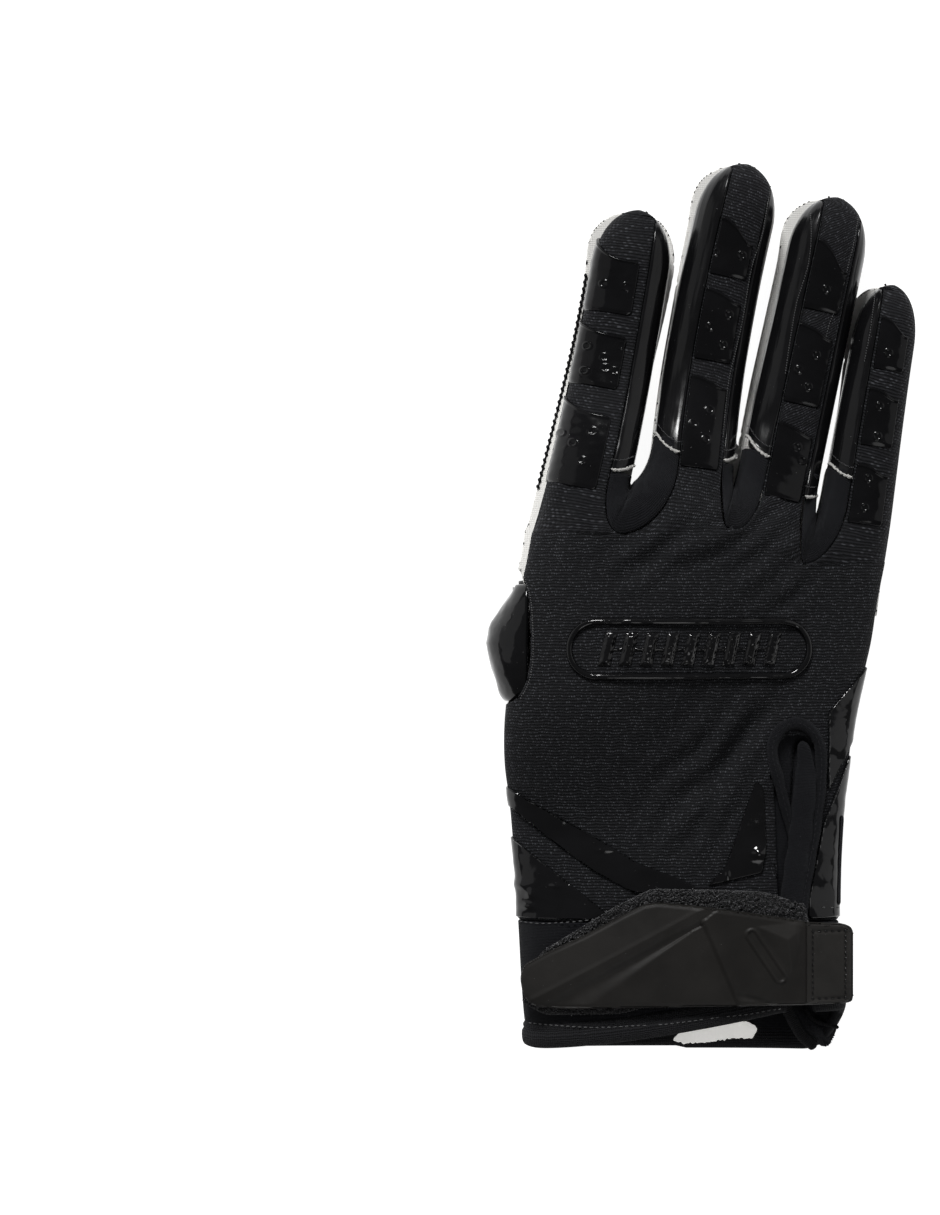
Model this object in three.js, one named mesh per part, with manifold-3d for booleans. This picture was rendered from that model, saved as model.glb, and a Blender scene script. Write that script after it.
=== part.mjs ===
// A right-hand football receiver glove, empty and lying on its palm with the thumb folded under it.
// Millimetres. +Z is up through the back of the hand, +Y points to the fingertips, +X to the little finger.
// The origin is on the palm's resting face, at the heel of the hand.
// Every piece is shaped on a flat palm first. drape() then lifts it over the thumb and adds the folds.
import * as THREE from "three";
import { mergeVertices } from "three/addons/utils/BufferGeometryUtils.js";
import Module from "manifold-3d";

const wasm = await Module();
wasm.setup();

// Driving sizes
const FINGER_WIDTH = 22; // middle finger, across its side walls
const FINGER_SPACE = 1.75; // room between two fingers at the knuckles
const FINGER_LENGTH = 98.6; // middle finger, crotch to tip
const FINGER_HEIGHT = 13; // palm lining to the finger's crown
const TIP_LENGTH = 16; // rounded end of a finger
const HAND_LENGTH = 104; // wrist seam to the middle finger's crotch
const HAND_HEIGHT = 16.5; // palm lining to the back's crown
const HEEL_LENGTH = 23.3; // wrist seam to the origin
const CUFF_LENGTH = 36; // wrist seam to the hem's lowest line
const KNIT_WALL = 1.3;
const SIDE_WALL = 1.1; // side strips and crotch gussets
const CUFF_WALL = 1.8;
const PALM_FACE_WALL = 1;
const PALM_LINING_WALL = 1;
const GAP = 0.3; // between two sewn pieces
const FLANGE = 1.8; // palm edge that stands out beyond the side walls, at its widest
const GEL_HEIGHT = 1.1; // finger pads
const OVERLAY_HEIGHT = 0.8; // glossy bands on the back
const THUMB_HEIGHT = 9; // the folded thumb, pressed flat
const THUMB_WIDTH = 22;
const THUMB_BASE_WIDTH = 31;
const THUMB_WALL = 1.2;
const HEM_HEIGHT = 5.3; // along Y
const HEM_THICKNESS = 3.2;
const BINDING_WIDTH = 4.6;
const BINDING_HEIGHT = 1.4;
const VENT_WIDTH = 11.5;
const VENT_LENGTH = 49;
const LOOP_HEIGHT = 1.2;
const STRAP_LENGTH = 87;
const STRAP_WIDTH = 27.5; // widest, at its peak
const STRAP_TIP_RADIUS = 8.6;
const STRAP_THICKNESS = 2;
const STRAP_RIB = 1.2;
const BADGE_LENGTH = 65.7;
const BADGE_WIDTH = 16.3;
const BADGE_RIM = 3.2;
const BADGE_HEIGHT = 1;
const BADGE_BARS = 5;
const LABEL_LENGTH = 22;
const LABEL_WIDTH = 7;
const LABEL_WALL = 1;

// Sizes that follow from them
const KNUCKLE_WIDTH = 4 * (FINGER_WIDTH + FINGER_SPACE);
const WRIST_Y = -HEEL_LENGTH;
const PALM_STACK = PALM_FACE_WALL + PALM_LINING_WALL + 4 * GAP; // where the walls stand
const WIDEST_SHARE = 0.38; // height of the widest line, as a share of a section's height
const HAND_POWER = 2.6; // how square the hand's section is
const FINGER_POWER = 2.4;
const FOOT_TUCK = 0.7; // how far a wall leans in at its foot
const MORPH_LENGTH = FINGER_WIDTH * 0.7; // over which the hand's back becomes a finger's back
const THUMB_CLEAR = THUMB_HEIGHT + GAP;

// The body's outline. along is a share of HAND_LENGTH from the wrist seam, and below 0 of CUFF_LENGTH.
// left and right are shares of KNUCKLE_WIDTH from the origin, height is a share of HAND_HEIGHT.
const BODY_ROWS = [
  { along: -1, left: -0.412, right: 0.452, height: 1.0 },
  { along: -0.7, left: -0.43, right: 0.462, height: 1.0 },
  { along: 0, left: -0.446, right: 0.449, height: 1.0 },
  { along: 0.1, left: -0.449, right: 0.446, height: 1.01 },
  { along: 0.2, left: -0.46, right: 0.452, height: 1.02 },
  { along: 0.3, left: -0.47, right: 0.463, height: 1.04 },
  { along: 0.4, left: -0.484, right: 0.477, height: 1.06 },
  { along: 0.5, left: -0.485, right: 0.491, height: 1.06 },
  { along: 0.61, left: -0.474, right: 0.516, height: 1.05 },
  { along: 0.71, left: -0.466, right: 0.541, height: 1.03 },
  { along: 0.81, left: -0.449, right: 0.558, height: 1.0 },
  { along: 0.91, left: -0.424, right: 0.58, height: 0.97 },
  { along: 1.0, left: -0.405, right: 0.597, height: 0.95 },
  { along: 1.1, left: -0.38, right: 0.612, height: 0.93 },
];

// Fingers. x is a share of KNUCKLE_WIDTH, y of HAND_LENGTH, length of FINGER_LENGTH, width and tip of
// FINGER_WIDTH. lean is in degrees towards +X, bow a share of the length.
const FINGERS = [
  { name: "index", x: -0.287, y: 0.981, length: 0.894, width: 0.975, tip: 0.925, lean: 11.3, bow: 0.014 },
  { name: "middle", x: 0.02, y: 0.995, length: 1.0, width: 1.0, tip: 0.955, lean: 9.9, bow: -0.022 },
  { name: "ring", x: 0.24, y: 0.95, length: 0.965, width: 0.99, tip: 0.93, lean: 12.1, bow: 0 },
  { name: "little", x: 0.482, y: 0.912, length: 0.757, width: 0.865, tip: 0.74, lean: 9.0, bow: -0.006 },
];

// Each finger's thumb side (left) and other side (right). The seams are shares of the half width, where 1 is
// none. Rise is how far up the crotch gusset reaches, a share of FINGER_WIDTH. Edge is how far the palm
// stands out, a share of FLANGE. The pads run across the knit from padLeft to padRight, and have padColumns faces
// across; knitColumns is the same for the knit.
const SIDES = {
  index: { left: -1, right: 0.44, leftRise: 0, rightRise: 0.84, leftEdge: 1, rightEdge: 0.22 },
  middle: { left: -0.37, right: 0.7, leftRise: 1.07, rightRise: 0.84, leftEdge: 0.28, rightEdge: 0.22 },
  ring: { left: -0.36, right: 0.68, leftRise: 1.12, rightRise: 1.0, leftEdge: 0.67, rightEdge: 0.22 },
  little: { left: -0.34, right: 1, leftRise: 1.1, rightRise: 0, leftEdge: 0.33, rightEdge: 0.33 },
};
const PADS = {
  index: { padLeft: 0.34, padRight: 0.97, padColumns: 5, knitColumns: 6 },
  middle: { padLeft: 0.04, padRight: 0.96, padColumns: 3, knitColumns: 4 },
  ring: { padLeft: 0.04, padRight: 0.96, padColumns: 3, knitColumns: 4 },
  little: { padLeft: 0.02, padRight: 0.36, padColumns: 3, knitColumns: 6 },
};
for (const f of FINGERS) Object.assign(f, SIDES[f.name], PADS[f.name]);

// Lowest points of the three crotch gussets' outer edges. depth is a share of FINGER_WIDTH.
const CROTCHES = [
  { x: -0.154, y: 0.981, depth: 0.64 },
  { x: 0.13, y: 0.995, depth: 0.52 },
  { x: 0.363, y: 0.902, depth: 0.56 },
];
const KNUCKLE_ENDS = { left: 0.985, right: 0.912 }; // shares of HAND_LENGTH

// Folds of the back. x is a share of KNUCKLE_WIDTH, y of HAND_LENGTH, turn is in degrees from +X.
// half (length), spread (width) and height are shares of HAND_HEIGHT.
const FOLDS = [
  { x: 0.17, y: 0.46, turn: 42, half: 1.15, spread: 0.2, height: -0.06 },
  { x: 0.235, y: 0.39, turn: 48, half: 0.95, spread: 0.2, height: 0.05 },
  { x: 0.09, y: 0.5, turn: 48, half: 1.2, spread: 0.26, height: 0.045 },
  { x: 0.0, y: 0.43, turn: 62, half: 1.2, spread: 0.26, height: -0.035 },
  { x: 0.03, y: 0.945, turn: 38, half: 0.7, spread: 0.22, height: 0.06 },
  { x: 0.245, y: 0.9, turn: 38, half: 0.7, spread: 0.22, height: 0.06 },
  { x: 0.07, y: 0.905, turn: 4, half: 1.5, spread: 0.2, height: -0.045 },
];

// Finger pads, from the tip down: from and to are shares of the finger's length, slant lifts the outer top
// corner.
const PAD_ROWS = [
  { name: "tip", from: 0.695, to: 0.85, slant: 0.05 },
  { name: "middle", from: 0.455, to: 0.655, slant: 0 },
  { name: "base", from: 0.18, to: 0.415, slant: 0 },
];

// Outlines of the cut for the thumb and of the glossy bands that wrap from the palm onto the back.
// x is a share of KNUCKLE_WIDTH, y of HAND_LENGTH from the wrist seam.
const THUMB_NOTCH = [
  { x: -0.7, y: 0.53 }, { x: -0.46, y: 0.53 }, { x: -0.417, y: 0.565 },
  { x: -0.417, y: 0.85 }, { x: -0.45, y: 0.885 }, { x: -0.7, y: 0.885 },
];
const OVERLAYS = {
  left_band: [
    { x: -0.52, y: 0.36 }, { x: -0.445, y: 0.327 }, { x: -0.42, y: 0.312 }, { x: -0.226, y: 0.213 },
    { x: -0.118, y: 0.152 }, { x: 0.03, y: 0.1 }, { x: 0.055, y: 0.077 }, { x: -0.13, y: 0.077 },
    { x: -0.24, y: 0.131 }, { x: -0.352, y: 0.206 }, { x: -0.52, y: 0.33 },
  ],
  left_corner: [
    { x: -0.52, y: 0.265 }, { x: -0.465, y: 0.214 }, { x: -0.19, y: 0.016 }, { x: -0.22, y: 0.008 },
    { x: -0.52, y: 0.008 },
  ],
  right_band: [
    { x: 0.075, y: 0.092 }, { x: 0.125, y: 0.14 }, { x: 0.21, y: 0.36 }, { x: 0.23, y: 0.345 },
    { x: 0.24, y: 0.2 }, { x: 0.228, y: 0.125 },
  ],
  right_wrap: [
    { x: 0.58, y: 0.7 }, { x: 0.535, y: 0.655 }, { x: 0.46, y: 0.58 }, { x: 0.412, y: 0.53 },
    { x: 0.412, y: 0.33 }, { x: 0.505, y: 0.495 }, { x: 0.58, y: 0.5 },
  ],
  right_corner: [
    { x: 0.56, y: 0.43 }, { x: 0.476, y: 0.42 }, { x: 0.4, y: 0.25 }, { x: 0.358, y: 0.06 },
    { x: 0.358, y: 0.008 }, { x: 0.56, y: 0.008 },
  ],
};

// Outlines on the strap. along is a share of STRAP_LENGTH, across of STRAP_WIDTH from the strap's foot.
const PAD_OUTLINE = [
  { along: 0.3, across: -0.08 }, { along: 0.5, across: -0.06 }, { along: 0.86, across: 0.14 },
  { along: 0.86, across: 0.74 }, { along: 0.66, across: 0.9 }, { along: 0.34, across: 0.94 },
  { along: 0.12, across: 0.62 }, { along: 0.03, across: -0.08 },
];
const STRAP_OUTLINE = [
  { along: 1, across: 0.05 }, { along: 1, across: 0.77 }, { along: 0.82, across: 0.72 },
  { along: 0.655, across: 0.79 }, { along: 0.485, across: 0.97 }, { along: 0.37, across: 0.96 },
  { along: 0.19, across: 0.7 }, { along: 0, across: 0.36 }, { along: -0.01, across: 0.1 },
  { along: 0.06, across: 0 }, { along: 0.33, across: 0 },
];
const RIBS = [
  [
    { along: 0.08, across: 0.3 }, { along: 0.5, across: 0.9 },
    { along: 0.47, across: 0.93 }, { along: 0.05, across: 0.36 },
  ],
  [
    { along: 0.14, across: 0.16 }, { along: 0.54, across: 0.8 },
    { along: 0.51, across: 0.86 }, { along: 0.11, across: 0.22 },
  ],
  [
    { along: 0.67, across: 0.1 }, { along: 0.6, across: 0.75 },
    { along: 0.56, across: 0.78 }, { along: 0.63, across: 0.08 },
  ],
];

// Numbers between two values, and smooth steps
const lerp = (a, b, t) => a + (b - a) * t;
const clamp01 = (t) => Math.min(1, Math.max(0, t));
const smooth = (from, to, at) => {
  const t = clamp01((at - from) / (to - from));
  return t * t * (3 - 2 * t);
};
const quickRise = (t) => Math.sqrt(1 - (1 - clamp01(t)) ** 2);
const radians = THREE.MathUtils.degToRad;
const range = (count, of) => Array.from({ length: count + 1 }, (_, i) => of(i / count));
const at = (x, y, z) => new THREE.Vector3(x, y, z);

// A smooth curve (Catmull-Rom in one value) through a table's column.
function column(rows, key, along) {
  let i = rows.findIndex((row) => row.along > along);
  if (i < 0) i = rows.length - 1;
  i = Math.max(1, i);
  const near = [Math.max(0, i - 2), i - 1, i, Math.min(rows.length - 1, i + 1)];
  const [before, low, high, after] = near.map((k) => rows[k]);
  const span = high.along - low.along;
  const t = clamp01((along - low.along) / span);
  const slope = (a, b) => ((b[key] - a[key]) / (b.along - a.along)) * span;
  const [m0, m1] = [slope(before, high), slope(low, after)];
  return (
    (2 * t ** 3 - 3 * t ** 2 + 1) * low[key] + (t ** 3 - 2 * t ** 2 + t) * m0 +
    (3 * t ** 2 - 2 * t ** 3) * high[key] + (t ** 3 - t ** 2) * m1
  );
}

// The hand's and cuff's section at a height up the glove.
function body(y) {
  const along = y < WRIST_Y ? (y - WRIST_Y) / CUFF_LENGTH : (y - WRIST_Y) / HAND_LENGTH;
  const left = column(BODY_ROWS, "left", along) * KNUCKLE_WIDTH;
  const right = column(BODY_ROWS, "right", along) * KNUCKLE_WIDTH;
  const height = column(BODY_ROWS, "height", along) * HAND_HEIGHT;
  return { x: (left + right) / 2, half: (right - left) / 2, height };
}

// A section's outline. q runs from -2 to 2: 0 is the crown, 1 the widest line, 2 the foot; minus is the
// thumb side.
// across is a share of the half width, up is 1 at the crown, 0 at the widest line and -1 at the foot.
function section(q, power, half = KNUCKLE_WIDTH / 2) {
  const side = Math.sign(q);
  const low = Math.abs(q) - 1;
  const tuck = Math.min(FOOT_TUCK, half / 2) / half;
  if (low > 0) return { across: side * (1 - tuck * low * low), up: -low };
  const turn = (Math.abs(q) * Math.PI) / 2;
  return { across: side * Math.sin(turn) ** (2 / power), up: Math.cos(turn) ** (2 / power) };
}
function sectionZ(up, height) {
  const reach = up > 0 ? 1 - WIDEST_SHARE : WIDEST_SHARE;
  return PALM_STACK + height * (WIDEST_SHARE + up * reach);
}
function seamQ(share, power) {
  const turn = Math.asin(Math.min(1, Math.abs(share) ** (power / 2)));
  return (Math.sign(share) * turn) / (Math.PI / 2);
}

// Height of the body's back at a place, before it is draped.
function backZ(x, y) {
  const b = body(y);
  const share = Math.min(0.999, Math.abs(x - b.x) / b.half);
  return sectionZ((1 - share ** HAND_POWER) ** (1 / HAND_POWER), b.height);
}

// A flat place at shares of KNUCKLE_WIDTH and, from the wrist seam, of HAND_LENGTH.
const flat = (x, y) => new THREE.Vector2(x, y);
const onHand = (place) => flat(place.x * KNUCKLE_WIDTH, WRIST_Y + place.y * HAND_LENGTH);
const crotchPoints = CROTCHES.map(onHand);

// The line where the hand's back becomes the fingers' backs, through the crotches.
function knuckleY(x) {
  const ends = body(WRIST_Y + HAND_LENGTH);
  const line = [
    { x: ends.x - ends.half, y: WRIST_Y + KNUCKLE_ENDS.left * HAND_LENGTH },
    ...crotchPoints,
    { x: ends.x + ends.half, y: WRIST_Y + KNUCKLE_ENDS.right * HAND_LENGTH },
  ];
  const beyond = line.findIndex((p) => p.x > x);
  const i = beyond < 0 ? line.length - 1 : Math.max(1, beyond);
  const [low, high] = [line[i - 1], line[i]];
  return lerp(low.y, high.y, clamp01((x - low.x) / (high.x - low.x)));
}

function handPoint(q, v) {
  const { across, up } = section(q, HAND_POWER);
  const top = body(WRIST_Y + HAND_LENGTH);
  const y = lerp(WRIST_Y + GAP / 2, knuckleY(top.x + across * top.half), v);
  const b = body(y);
  return at(b.x + across * b.half, y, sectionZ(up, b.height));
}

// A finger's centre line, direction, half width and height at a distance s from its base.
function fingerAt(f, s) {
  const length = f.length * FINGER_LENGTH;
  const lean = radians(f.lean);
  const t = s / length;
  const bow = f.bow * length * 4 * t * (1 - t);
  const [ux, uy] = [Math.sin(lean), Math.cos(lean)];
  const tilt = f.bow * 4 * (1 - 2 * t);
  const direction = new THREE.Vector2(ux + uy * tilt, uy - ux * tilt).normalize();
  const past = Math.max(0, (s - (length - TIP_LENGTH)) / TIP_LENGTH);
  const cap = Math.max(0, 1 - past ** 2.2) ** 0.5;
  const nominal = (lerp(f.width, f.tip, smooth(0, length, s)) * FINGER_WIDTH) / 2;
  return {
    x: f.x * KNUCKLE_WIDTH + ux * s + uy * bow,
    y: WRIST_Y + f.y * HAND_LENGTH + uy * s - ux * bow,
    direction,
    nominal,
    half: nominal * cap,
    height: FINGER_HEIGHT * (0.45 + 0.55 * cap),
  };
}

function fingerPoint(f, s, q) {
  const c = fingerAt(f, s);
  const { across, up } = section(q, FINGER_POWER, Math.max(c.half, 0.01));
  const out = across * c.half;
  return at(c.x + c.direction.y * out, c.y - c.direction.x * out, sectionZ(up, c.height));
}

// A finger's seam at a distance s: it runs straight up until the rounded tip cuts it, then drops to the foot.
function fingerSeam(f, side, s) {
  const c = fingerAt(f, s);
  const foot = 2 * Math.sign(f[side]);
  if (Math.abs(f[side]) === 1) return foot;
  const share = Math.max(-1, Math.min(1, (f[side] * c.nominal) / Math.max(c.half, 1e-6)));
  const toTip = (f.length * FINGER_LENGTH - s) / TIP_LENGTH;
  return lerp(seamQ(share, FINGER_POWER), foot, smooth(0.7, 0.22, toTip));
}

const bodyTop = body(WRIST_Y + HAND_LENGTH);
const crotchQ = crotchPoints.map((p) => seamQ((p.x - bodyTop.x) / bodyTop.half, HAND_POWER));
const fingerEnds = (i) => [i === 0 ? -2 : crotchQ[i - 1], i === 3 ? 2 : crotchQ[i]];

// A point on a finger's knit back: across runs from 0 at its thumb-side edge to 1.
function stripPoint(i, across, s) {
  const f = FINGERS[i];
  const q = lerp(fingerSeam(f, "left", s), fingerSeam(f, "right", s), across);
  const finger = fingerPoint(f, s, q);
  if (s >= MORPH_LENGTH) return finger;
  const [from, to] = fingerEnds(i);
  const hand = handPoint(lerp(from, to, across), 1);
  const { direction } = fingerAt(f, s);
  hand.x += direction.x * s;
  hand.y += direction.y * s;
  const sideways = quickRise(s / MORPH_LENGTH);
  const upward = smooth(0, MORPH_LENGTH, s);
  const [x, y] = [lerp(hand.x, finger.x, sideways), lerp(hand.y, finger.y, sideways)];
  return at(x, y, lerp(hand.z, finger.z, upward));
}

// A closed solid from triangles, turned the right way round.
function solidOf(positions, triangles) {
  const build = (flip) => {
    const geometry = new THREE.BufferGeometry();
    geometry.setAttribute("position", new THREE.Float32BufferAttribute(positions, 3));
    geometry.setIndex(triangles.flatMap(([a, b, c]) => (flip ? [a, c, b] : [a, b, c])));
    return toManifold(geometry);
  };
  const made = build(false);
  return made.volume() < 0 ? build(true) : made;
}

function toManifold(geometry) {
  const bare = geometry.clone();
  bare.deleteAttribute("normal");
  bare.deleteAttribute("uv");
  const merged = mergeVertices(bare, 1e-4);
  const vertProperties = merged.attributes.position.array;
  const triVerts = new Uint32Array(merged.index.array);
  return new wasm.Manifold(new wasm.Mesh({ numProp: 3, vertProperties, triVerts }));
}

// A surface of quads with welded vertices, from which walls of a given depth are made.
class Skin {
  constructor() {
    this.points = [];
    this.cells = [];
    this.known = new Map();
  }

  weld(p) {
    const key = [p.x, p.y, p.z].map((v) => Math.round(v * 1e4)).join();
    if (!this.known.has(key)) this.known.set(key, this.points.push(p.clone()) - 1);
    return this.known.get(key);
  }

  drape() {
    this.points = this.points.map(drape);
    return this;
  }

  // rows of points, each row running the same way; name is the piece that the cells belong to
  patch(rows, name = "") {
    const ids = rows.map((row) => row.map((p) => this.weld(p)));
    for (let i = 0; i + 1 < ids.length; i++) {
      for (let j = 0; j + 1 < ids[i].length; j++) {
        const ring = [ids[i][j], ids[i][j + 1], ids[i + 1][j + 1], ids[i + 1][j]];
        const corners = ring.filter((v, k) => v !== ring[(k + 1) % ring.length]);
        if (new Set(corners).size > 2) this.cells.push({ corners, name });
      }
    }
    return this;
  }

  normals() {
    const normals = this.points.map(() => at(0, 0, 0));
    for (const { corners } of this.cells) {
      const [a, b, c] = [this.points[corners[0]], this.points[corners[1]], this.points[corners.at(-1)]];
      const face = b.clone().sub(a).cross(c.clone().sub(a));
      corners.forEach((v) => normals[v].add(face));
    }
    return normals.map((n) => n.normalize());
  }

  // One piece's points: where it meets another piece it is drawn back by half of GAP.
  drawnBack(name) {
    const own = this.cells.filter((cell) => cell.name === name);
    const rest = this.cells.filter((cell) => cell.name !== name);
    const others = new Set(rest.flatMap((cell) => cell.corners));
    const towards = this.points.map(() => at(0, 0, 0));
    const inCorner = new Set();
    for (const { corners } of own) {
      corners.forEach((v, k) => {
        if (!others.has(v)) return;
        const here = this.points[v];
        for (const near of [corners[(k + 1) % corners.length], corners.at(k - 1)]) {
          if (!others.has(near)) towards[v].add(this.points[near].clone().sub(here).normalize());
        }
        if (towards[v].length() > 0) return;
        inCorner.add(v);
        const sum = corners.reduce((total, c) => total.add(this.points[c]), at(0, 0, 0));
        towards[v].addScaledVector(sum.divideScalar(corners.length).sub(here), 1e-3);
      });
    }
    const step = (v) => GAP * (inCorner.has(v) ? 1.9 : 0.85);
    return this.points.map((p, v) => p.clone().addScaledVector(towards[v].normalize(), step(v)));
  }

  // the wall of one piece, between two offsets along the surface's normals
  wall(inner, outer, name = "") {
    this.normal ??= this.normals();
    const points = this.drawnBack(name);
    const moved = (d) => points.flatMap((p, i) => p.clone().addScaledVector(this.normal[i], d).toArray());
    const positions = [...moved(inner), ...moved(outer)];
    const count = this.points.length;
    const triangles = [];
    const edges = new Map();
    for (const { corners } of this.cells.filter((cell) => cell.name === name)) {
      for (let k = 1; k + 1 < corners.length; k++) {
        triangles.push([corners[0] + count, corners[k] + count, corners[k + 1] + count]);
        triangles.push([corners[0], corners[k + 1], corners[k]]);
      }
      corners.forEach((a, k) => {
        const b = corners[(k + 1) % corners.length];
        if (!edges.delete(b + "," + a)) edges.set(a + "," + b, [a, b]);
      });
    }
    for (const [a, b] of edges.values()) {
      triangles.push([b + count, a + count, a], [b + count, a, b]);
    }
    return solidOf(positions, triangles);
  }
}

// An upright prism over a flat outline, tall enough to cut any piece.
const PRISM_REACH = 3 * HAND_HEIGHT;
function prism(shape, curveSegments = 3) {
  const settings = { depth: 2 * PRISM_REACH, bevelEnabled: false, curveSegments };
  const geometry = new THREE.ExtrudeGeometry(shape, settings);
  geometry.translate(0, 0, -PRISM_REACH);
  return toManifold(geometry);
}

// A closed outline through points, each corner rounded by up to its radius.
function rounded(points, radius) {
  const shape = new THREE.Shape();
  points.forEach((p, i) => {
    const [before, after] = [points.at(i - 1), points[(i + 1) % points.length]];
    const cut = (q) => Math.min(radius, p.distanceTo(q) * 0.49);
    const start = p.clone().lerp(before, cut(before) / p.distanceTo(before));
    const end = p.clone().lerp(after, cut(after) / p.distanceTo(after));
    if (i === 0) shape.moveTo(start.x, start.y);
    else shape.lineTo(start.x, start.y);
    shape.quadraticCurveTo(p.x, p.y, end.x, end.y);
  });
  shape.closePath();
  return shape;
}

// The folded thumb's plan line under the palm, from its fold to its tip.
const thumbFold = onHand({ x: -0.421, y: 0.706 });
const thumbLine = new THREE.QuadraticBezierCurve(
  thumbFold,
  thumbFold.clone().add(flat(0.2 * KNUCKLE_WIDTH, 0.02 * HAND_LENGTH)),
  thumbFold.clone().add(flat(0.31 * KNUCKLE_WIDTH, 0.27 * HAND_LENGTH)),
);
const thumbPlaces = thumbLine.getPoints(10);
const LIFT_NEAR = THUMB_WIDTH * 0.6; // full lift this close to the thumb's line
const LIFT_FAR = THUMB_WIDTH * 2.4; // and none beyond this

function lift(x, y) {
  const here = flat(x, y);
  const distance = Math.min(...thumbPlaces.map((p) => p.distanceTo(here)));
  return THUMB_CLEAR * (1 - smooth(LIFT_NEAR, LIFT_FAR, distance));
}

function foldHeight(x, y) {
  return FOLDS.reduce((sum, fold) => {
    const centre = onHand(fold);
    const turn = radians(fold.turn);
    const [dx, dy] = [x - centre.x, y - centre.y];
    const along = (dx * Math.cos(turn) + dy * Math.sin(turn)) / (fold.half * HAND_HEIGHT);
    const over = (dy * Math.cos(turn) - dx * Math.sin(turn)) / (fold.spread * HAND_HEIGHT);
    return sum + fold.height * HAND_HEIGHT * Math.exp(-along * along - over * over);
  }, 0);
}

function drape(p) {
  const upper = smooth(PALM_STACK + HAND_HEIGHT * 0.25, PALM_STACK + HAND_HEIGHT * 0.5, p.z);
  return at(p.x, p.y, p.z + lift(p.x, p.y) + upper * foldHeight(p.x, p.y));
}

// Materials
const finish = (color, roughness) => new THREE.MeshStandardMaterial({ color, roughness, metalness: 0 });
const MATERIALS = {
  knit: finish(0x17181b, 0.85),
  jersey: finish(0x121318, 0.9),
  silicone: finish(0x0a0a0b, 0.18),
  gel: finish(0x0c0c0d, 0.22),
  lining: finish(0xe4e2dc, 0.8),
  rubber: finish(0x242220, 0.6),
  loop: finish(0x141416, 1),
  webbing: finish(0x101012, 0.85),
};

const glove = new THREE.Group();

function piece(name, solid, material) {
  const mesh = solid.getMesh();
  const geometry = new THREE.BufferGeometry();
  geometry.setAttribute("position", new THREE.Float32BufferAttribute(mesh.vertProperties, 3));
  geometry.setIndex([...mesh.triVerts]);
  geometry.computeVertexNormals();
  const made = new THREE.Mesh(geometry, material);
  made.name = name;
  glove.add(made);
}

// Distances up a finger: close rows at its base and over its tip.
function fingerRows(f, from, steps, capSteps) {
  const length = f.length * FINGER_LENGTH;
  const base = range(4, (t) => from + (MORPH_LENGTH - from) * t * t).filter(() => from < MORPH_LENGTH);
  const start = Math.max(from, MORPH_LENGTH);
  const shank = range(steps, (t) => lerp(start, length - TIP_LENGTH, t ** 1.5)).slice(base.length ? 1 : 0);
  const cap = range(capSteps, (t) => length - TIP_LENGTH * (1 - Math.sin((t * Math.PI) / 2))).slice(1);
  return [...base, ...shank, ...cap];
}

// The knit back: one sheet over the hand, its sides and the four fingers.
const backSkin = new Skin();
const handColumns = FINGERS.flatMap((_, i) => {
  const [from, to] = fingerEnds(i);
  return range(FINGERS[i].knitColumns, (t) => lerp(from, to, t)).slice(i ? 1 : 0);
});
backSkin.patch(range(11, (v) => handColumns.map((q) => handPoint(q, v))), "back_panel");
FINGERS.forEach((f, i) => {
  const rows = fingerRows(f, 0, 6, 4);
  rows.push(...[f.leftRise, f.rightRise].filter((r) => r > 0).map((r) => r * FINGER_WIDTH));
  rows.sort((a, b) => a - b);
  backSkin.patch(rows.map((s) => range(f.knitColumns, (t) => stripPoint(i, t, s))), "back_panel");
});

// The back and the palm are cut away where the thumb turns round the hand's edge.
const thumbNotch = new THREE.Shape(THUMB_NOTCH.map(onHand));

// The vent: a slit with a round top end, from the wrist seam up the back.
const ventFoot = onHand({ x: 0.298, y: 0 });
const ventTop = onHand({ x: 0.323, y: 0 }).add(flat(0, VENT_LENGTH - VENT_WIDTH / 2));
const VENT_FOOT_WIDTH = VENT_WIDTH * 0.3;
function ventOutline(grow, footWidth = VENT_FOOT_WIDTH, steps = 1) {
  const radius = VENT_WIDTH / 2 + grow;
  const turned = (t) => flat(radius * Math.cos(Math.PI * t), radius * Math.sin(Math.PI * t)).add(ventTop);
  const limb = (side) => {
    const foot = flat(ventFoot.x + side * (footWidth / 2 + grow), ventFoot.y - GAP);
    return range(steps, (t) => foot.clone().lerp(turned(side > 0 ? 0 : 1), t)).slice(0, -1);
  };
  return [...limb(1), ...range(8, turned), ...limb(-1).reverse()];
}
const ventSlot = new THREE.Shape(ventOutline(0));

// Side strips of the fingers, from the knit's seam down to the palm, running out to a point near the tip
const sideRow = (f, side, s) => {
  const from = fingerSeam(f, side, s);
  if (s > f.length * FINGER_LENGTH - TIP_LENGTH / 2) return range(4, () => fingerPoint(f, s, from));
  const turns = [...range(3, (t) => lerp(from, Math.sign(from), t)), 2 * Math.sign(from)];
  return turns.map((q) => fingerPoint(f, s, q));
};
const sideNames = FINGERS.flatMap((f) =>
  ["left", "right"].filter((side) => f[side + "Rise"] > 0).map((side) => {
    const rises = ["left", "right"].map((s) => f[s + "Rise"] * FINGER_WIDTH);
    const rise = f[side + "Rise"] * FINGER_WIDTH;
    const last = f.length * FINGER_LENGTH - TIP_LENGTH * 0.25;
    const stops = [...fingerRows(f, 0, 6, 4), ...rises].filter((s) => s >= rise && s < last);
    stops.sort((a, b) => a - b);
    const rows = stops.map((s) => sideRow(f, side, s));
    const name = f.name + (side === "left" ? "_outer" : "_inner") + "_side";
    backSkin.patch(side === "left" ? rows.reverse() : rows, name);
    return name;
  }),
);

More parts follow.
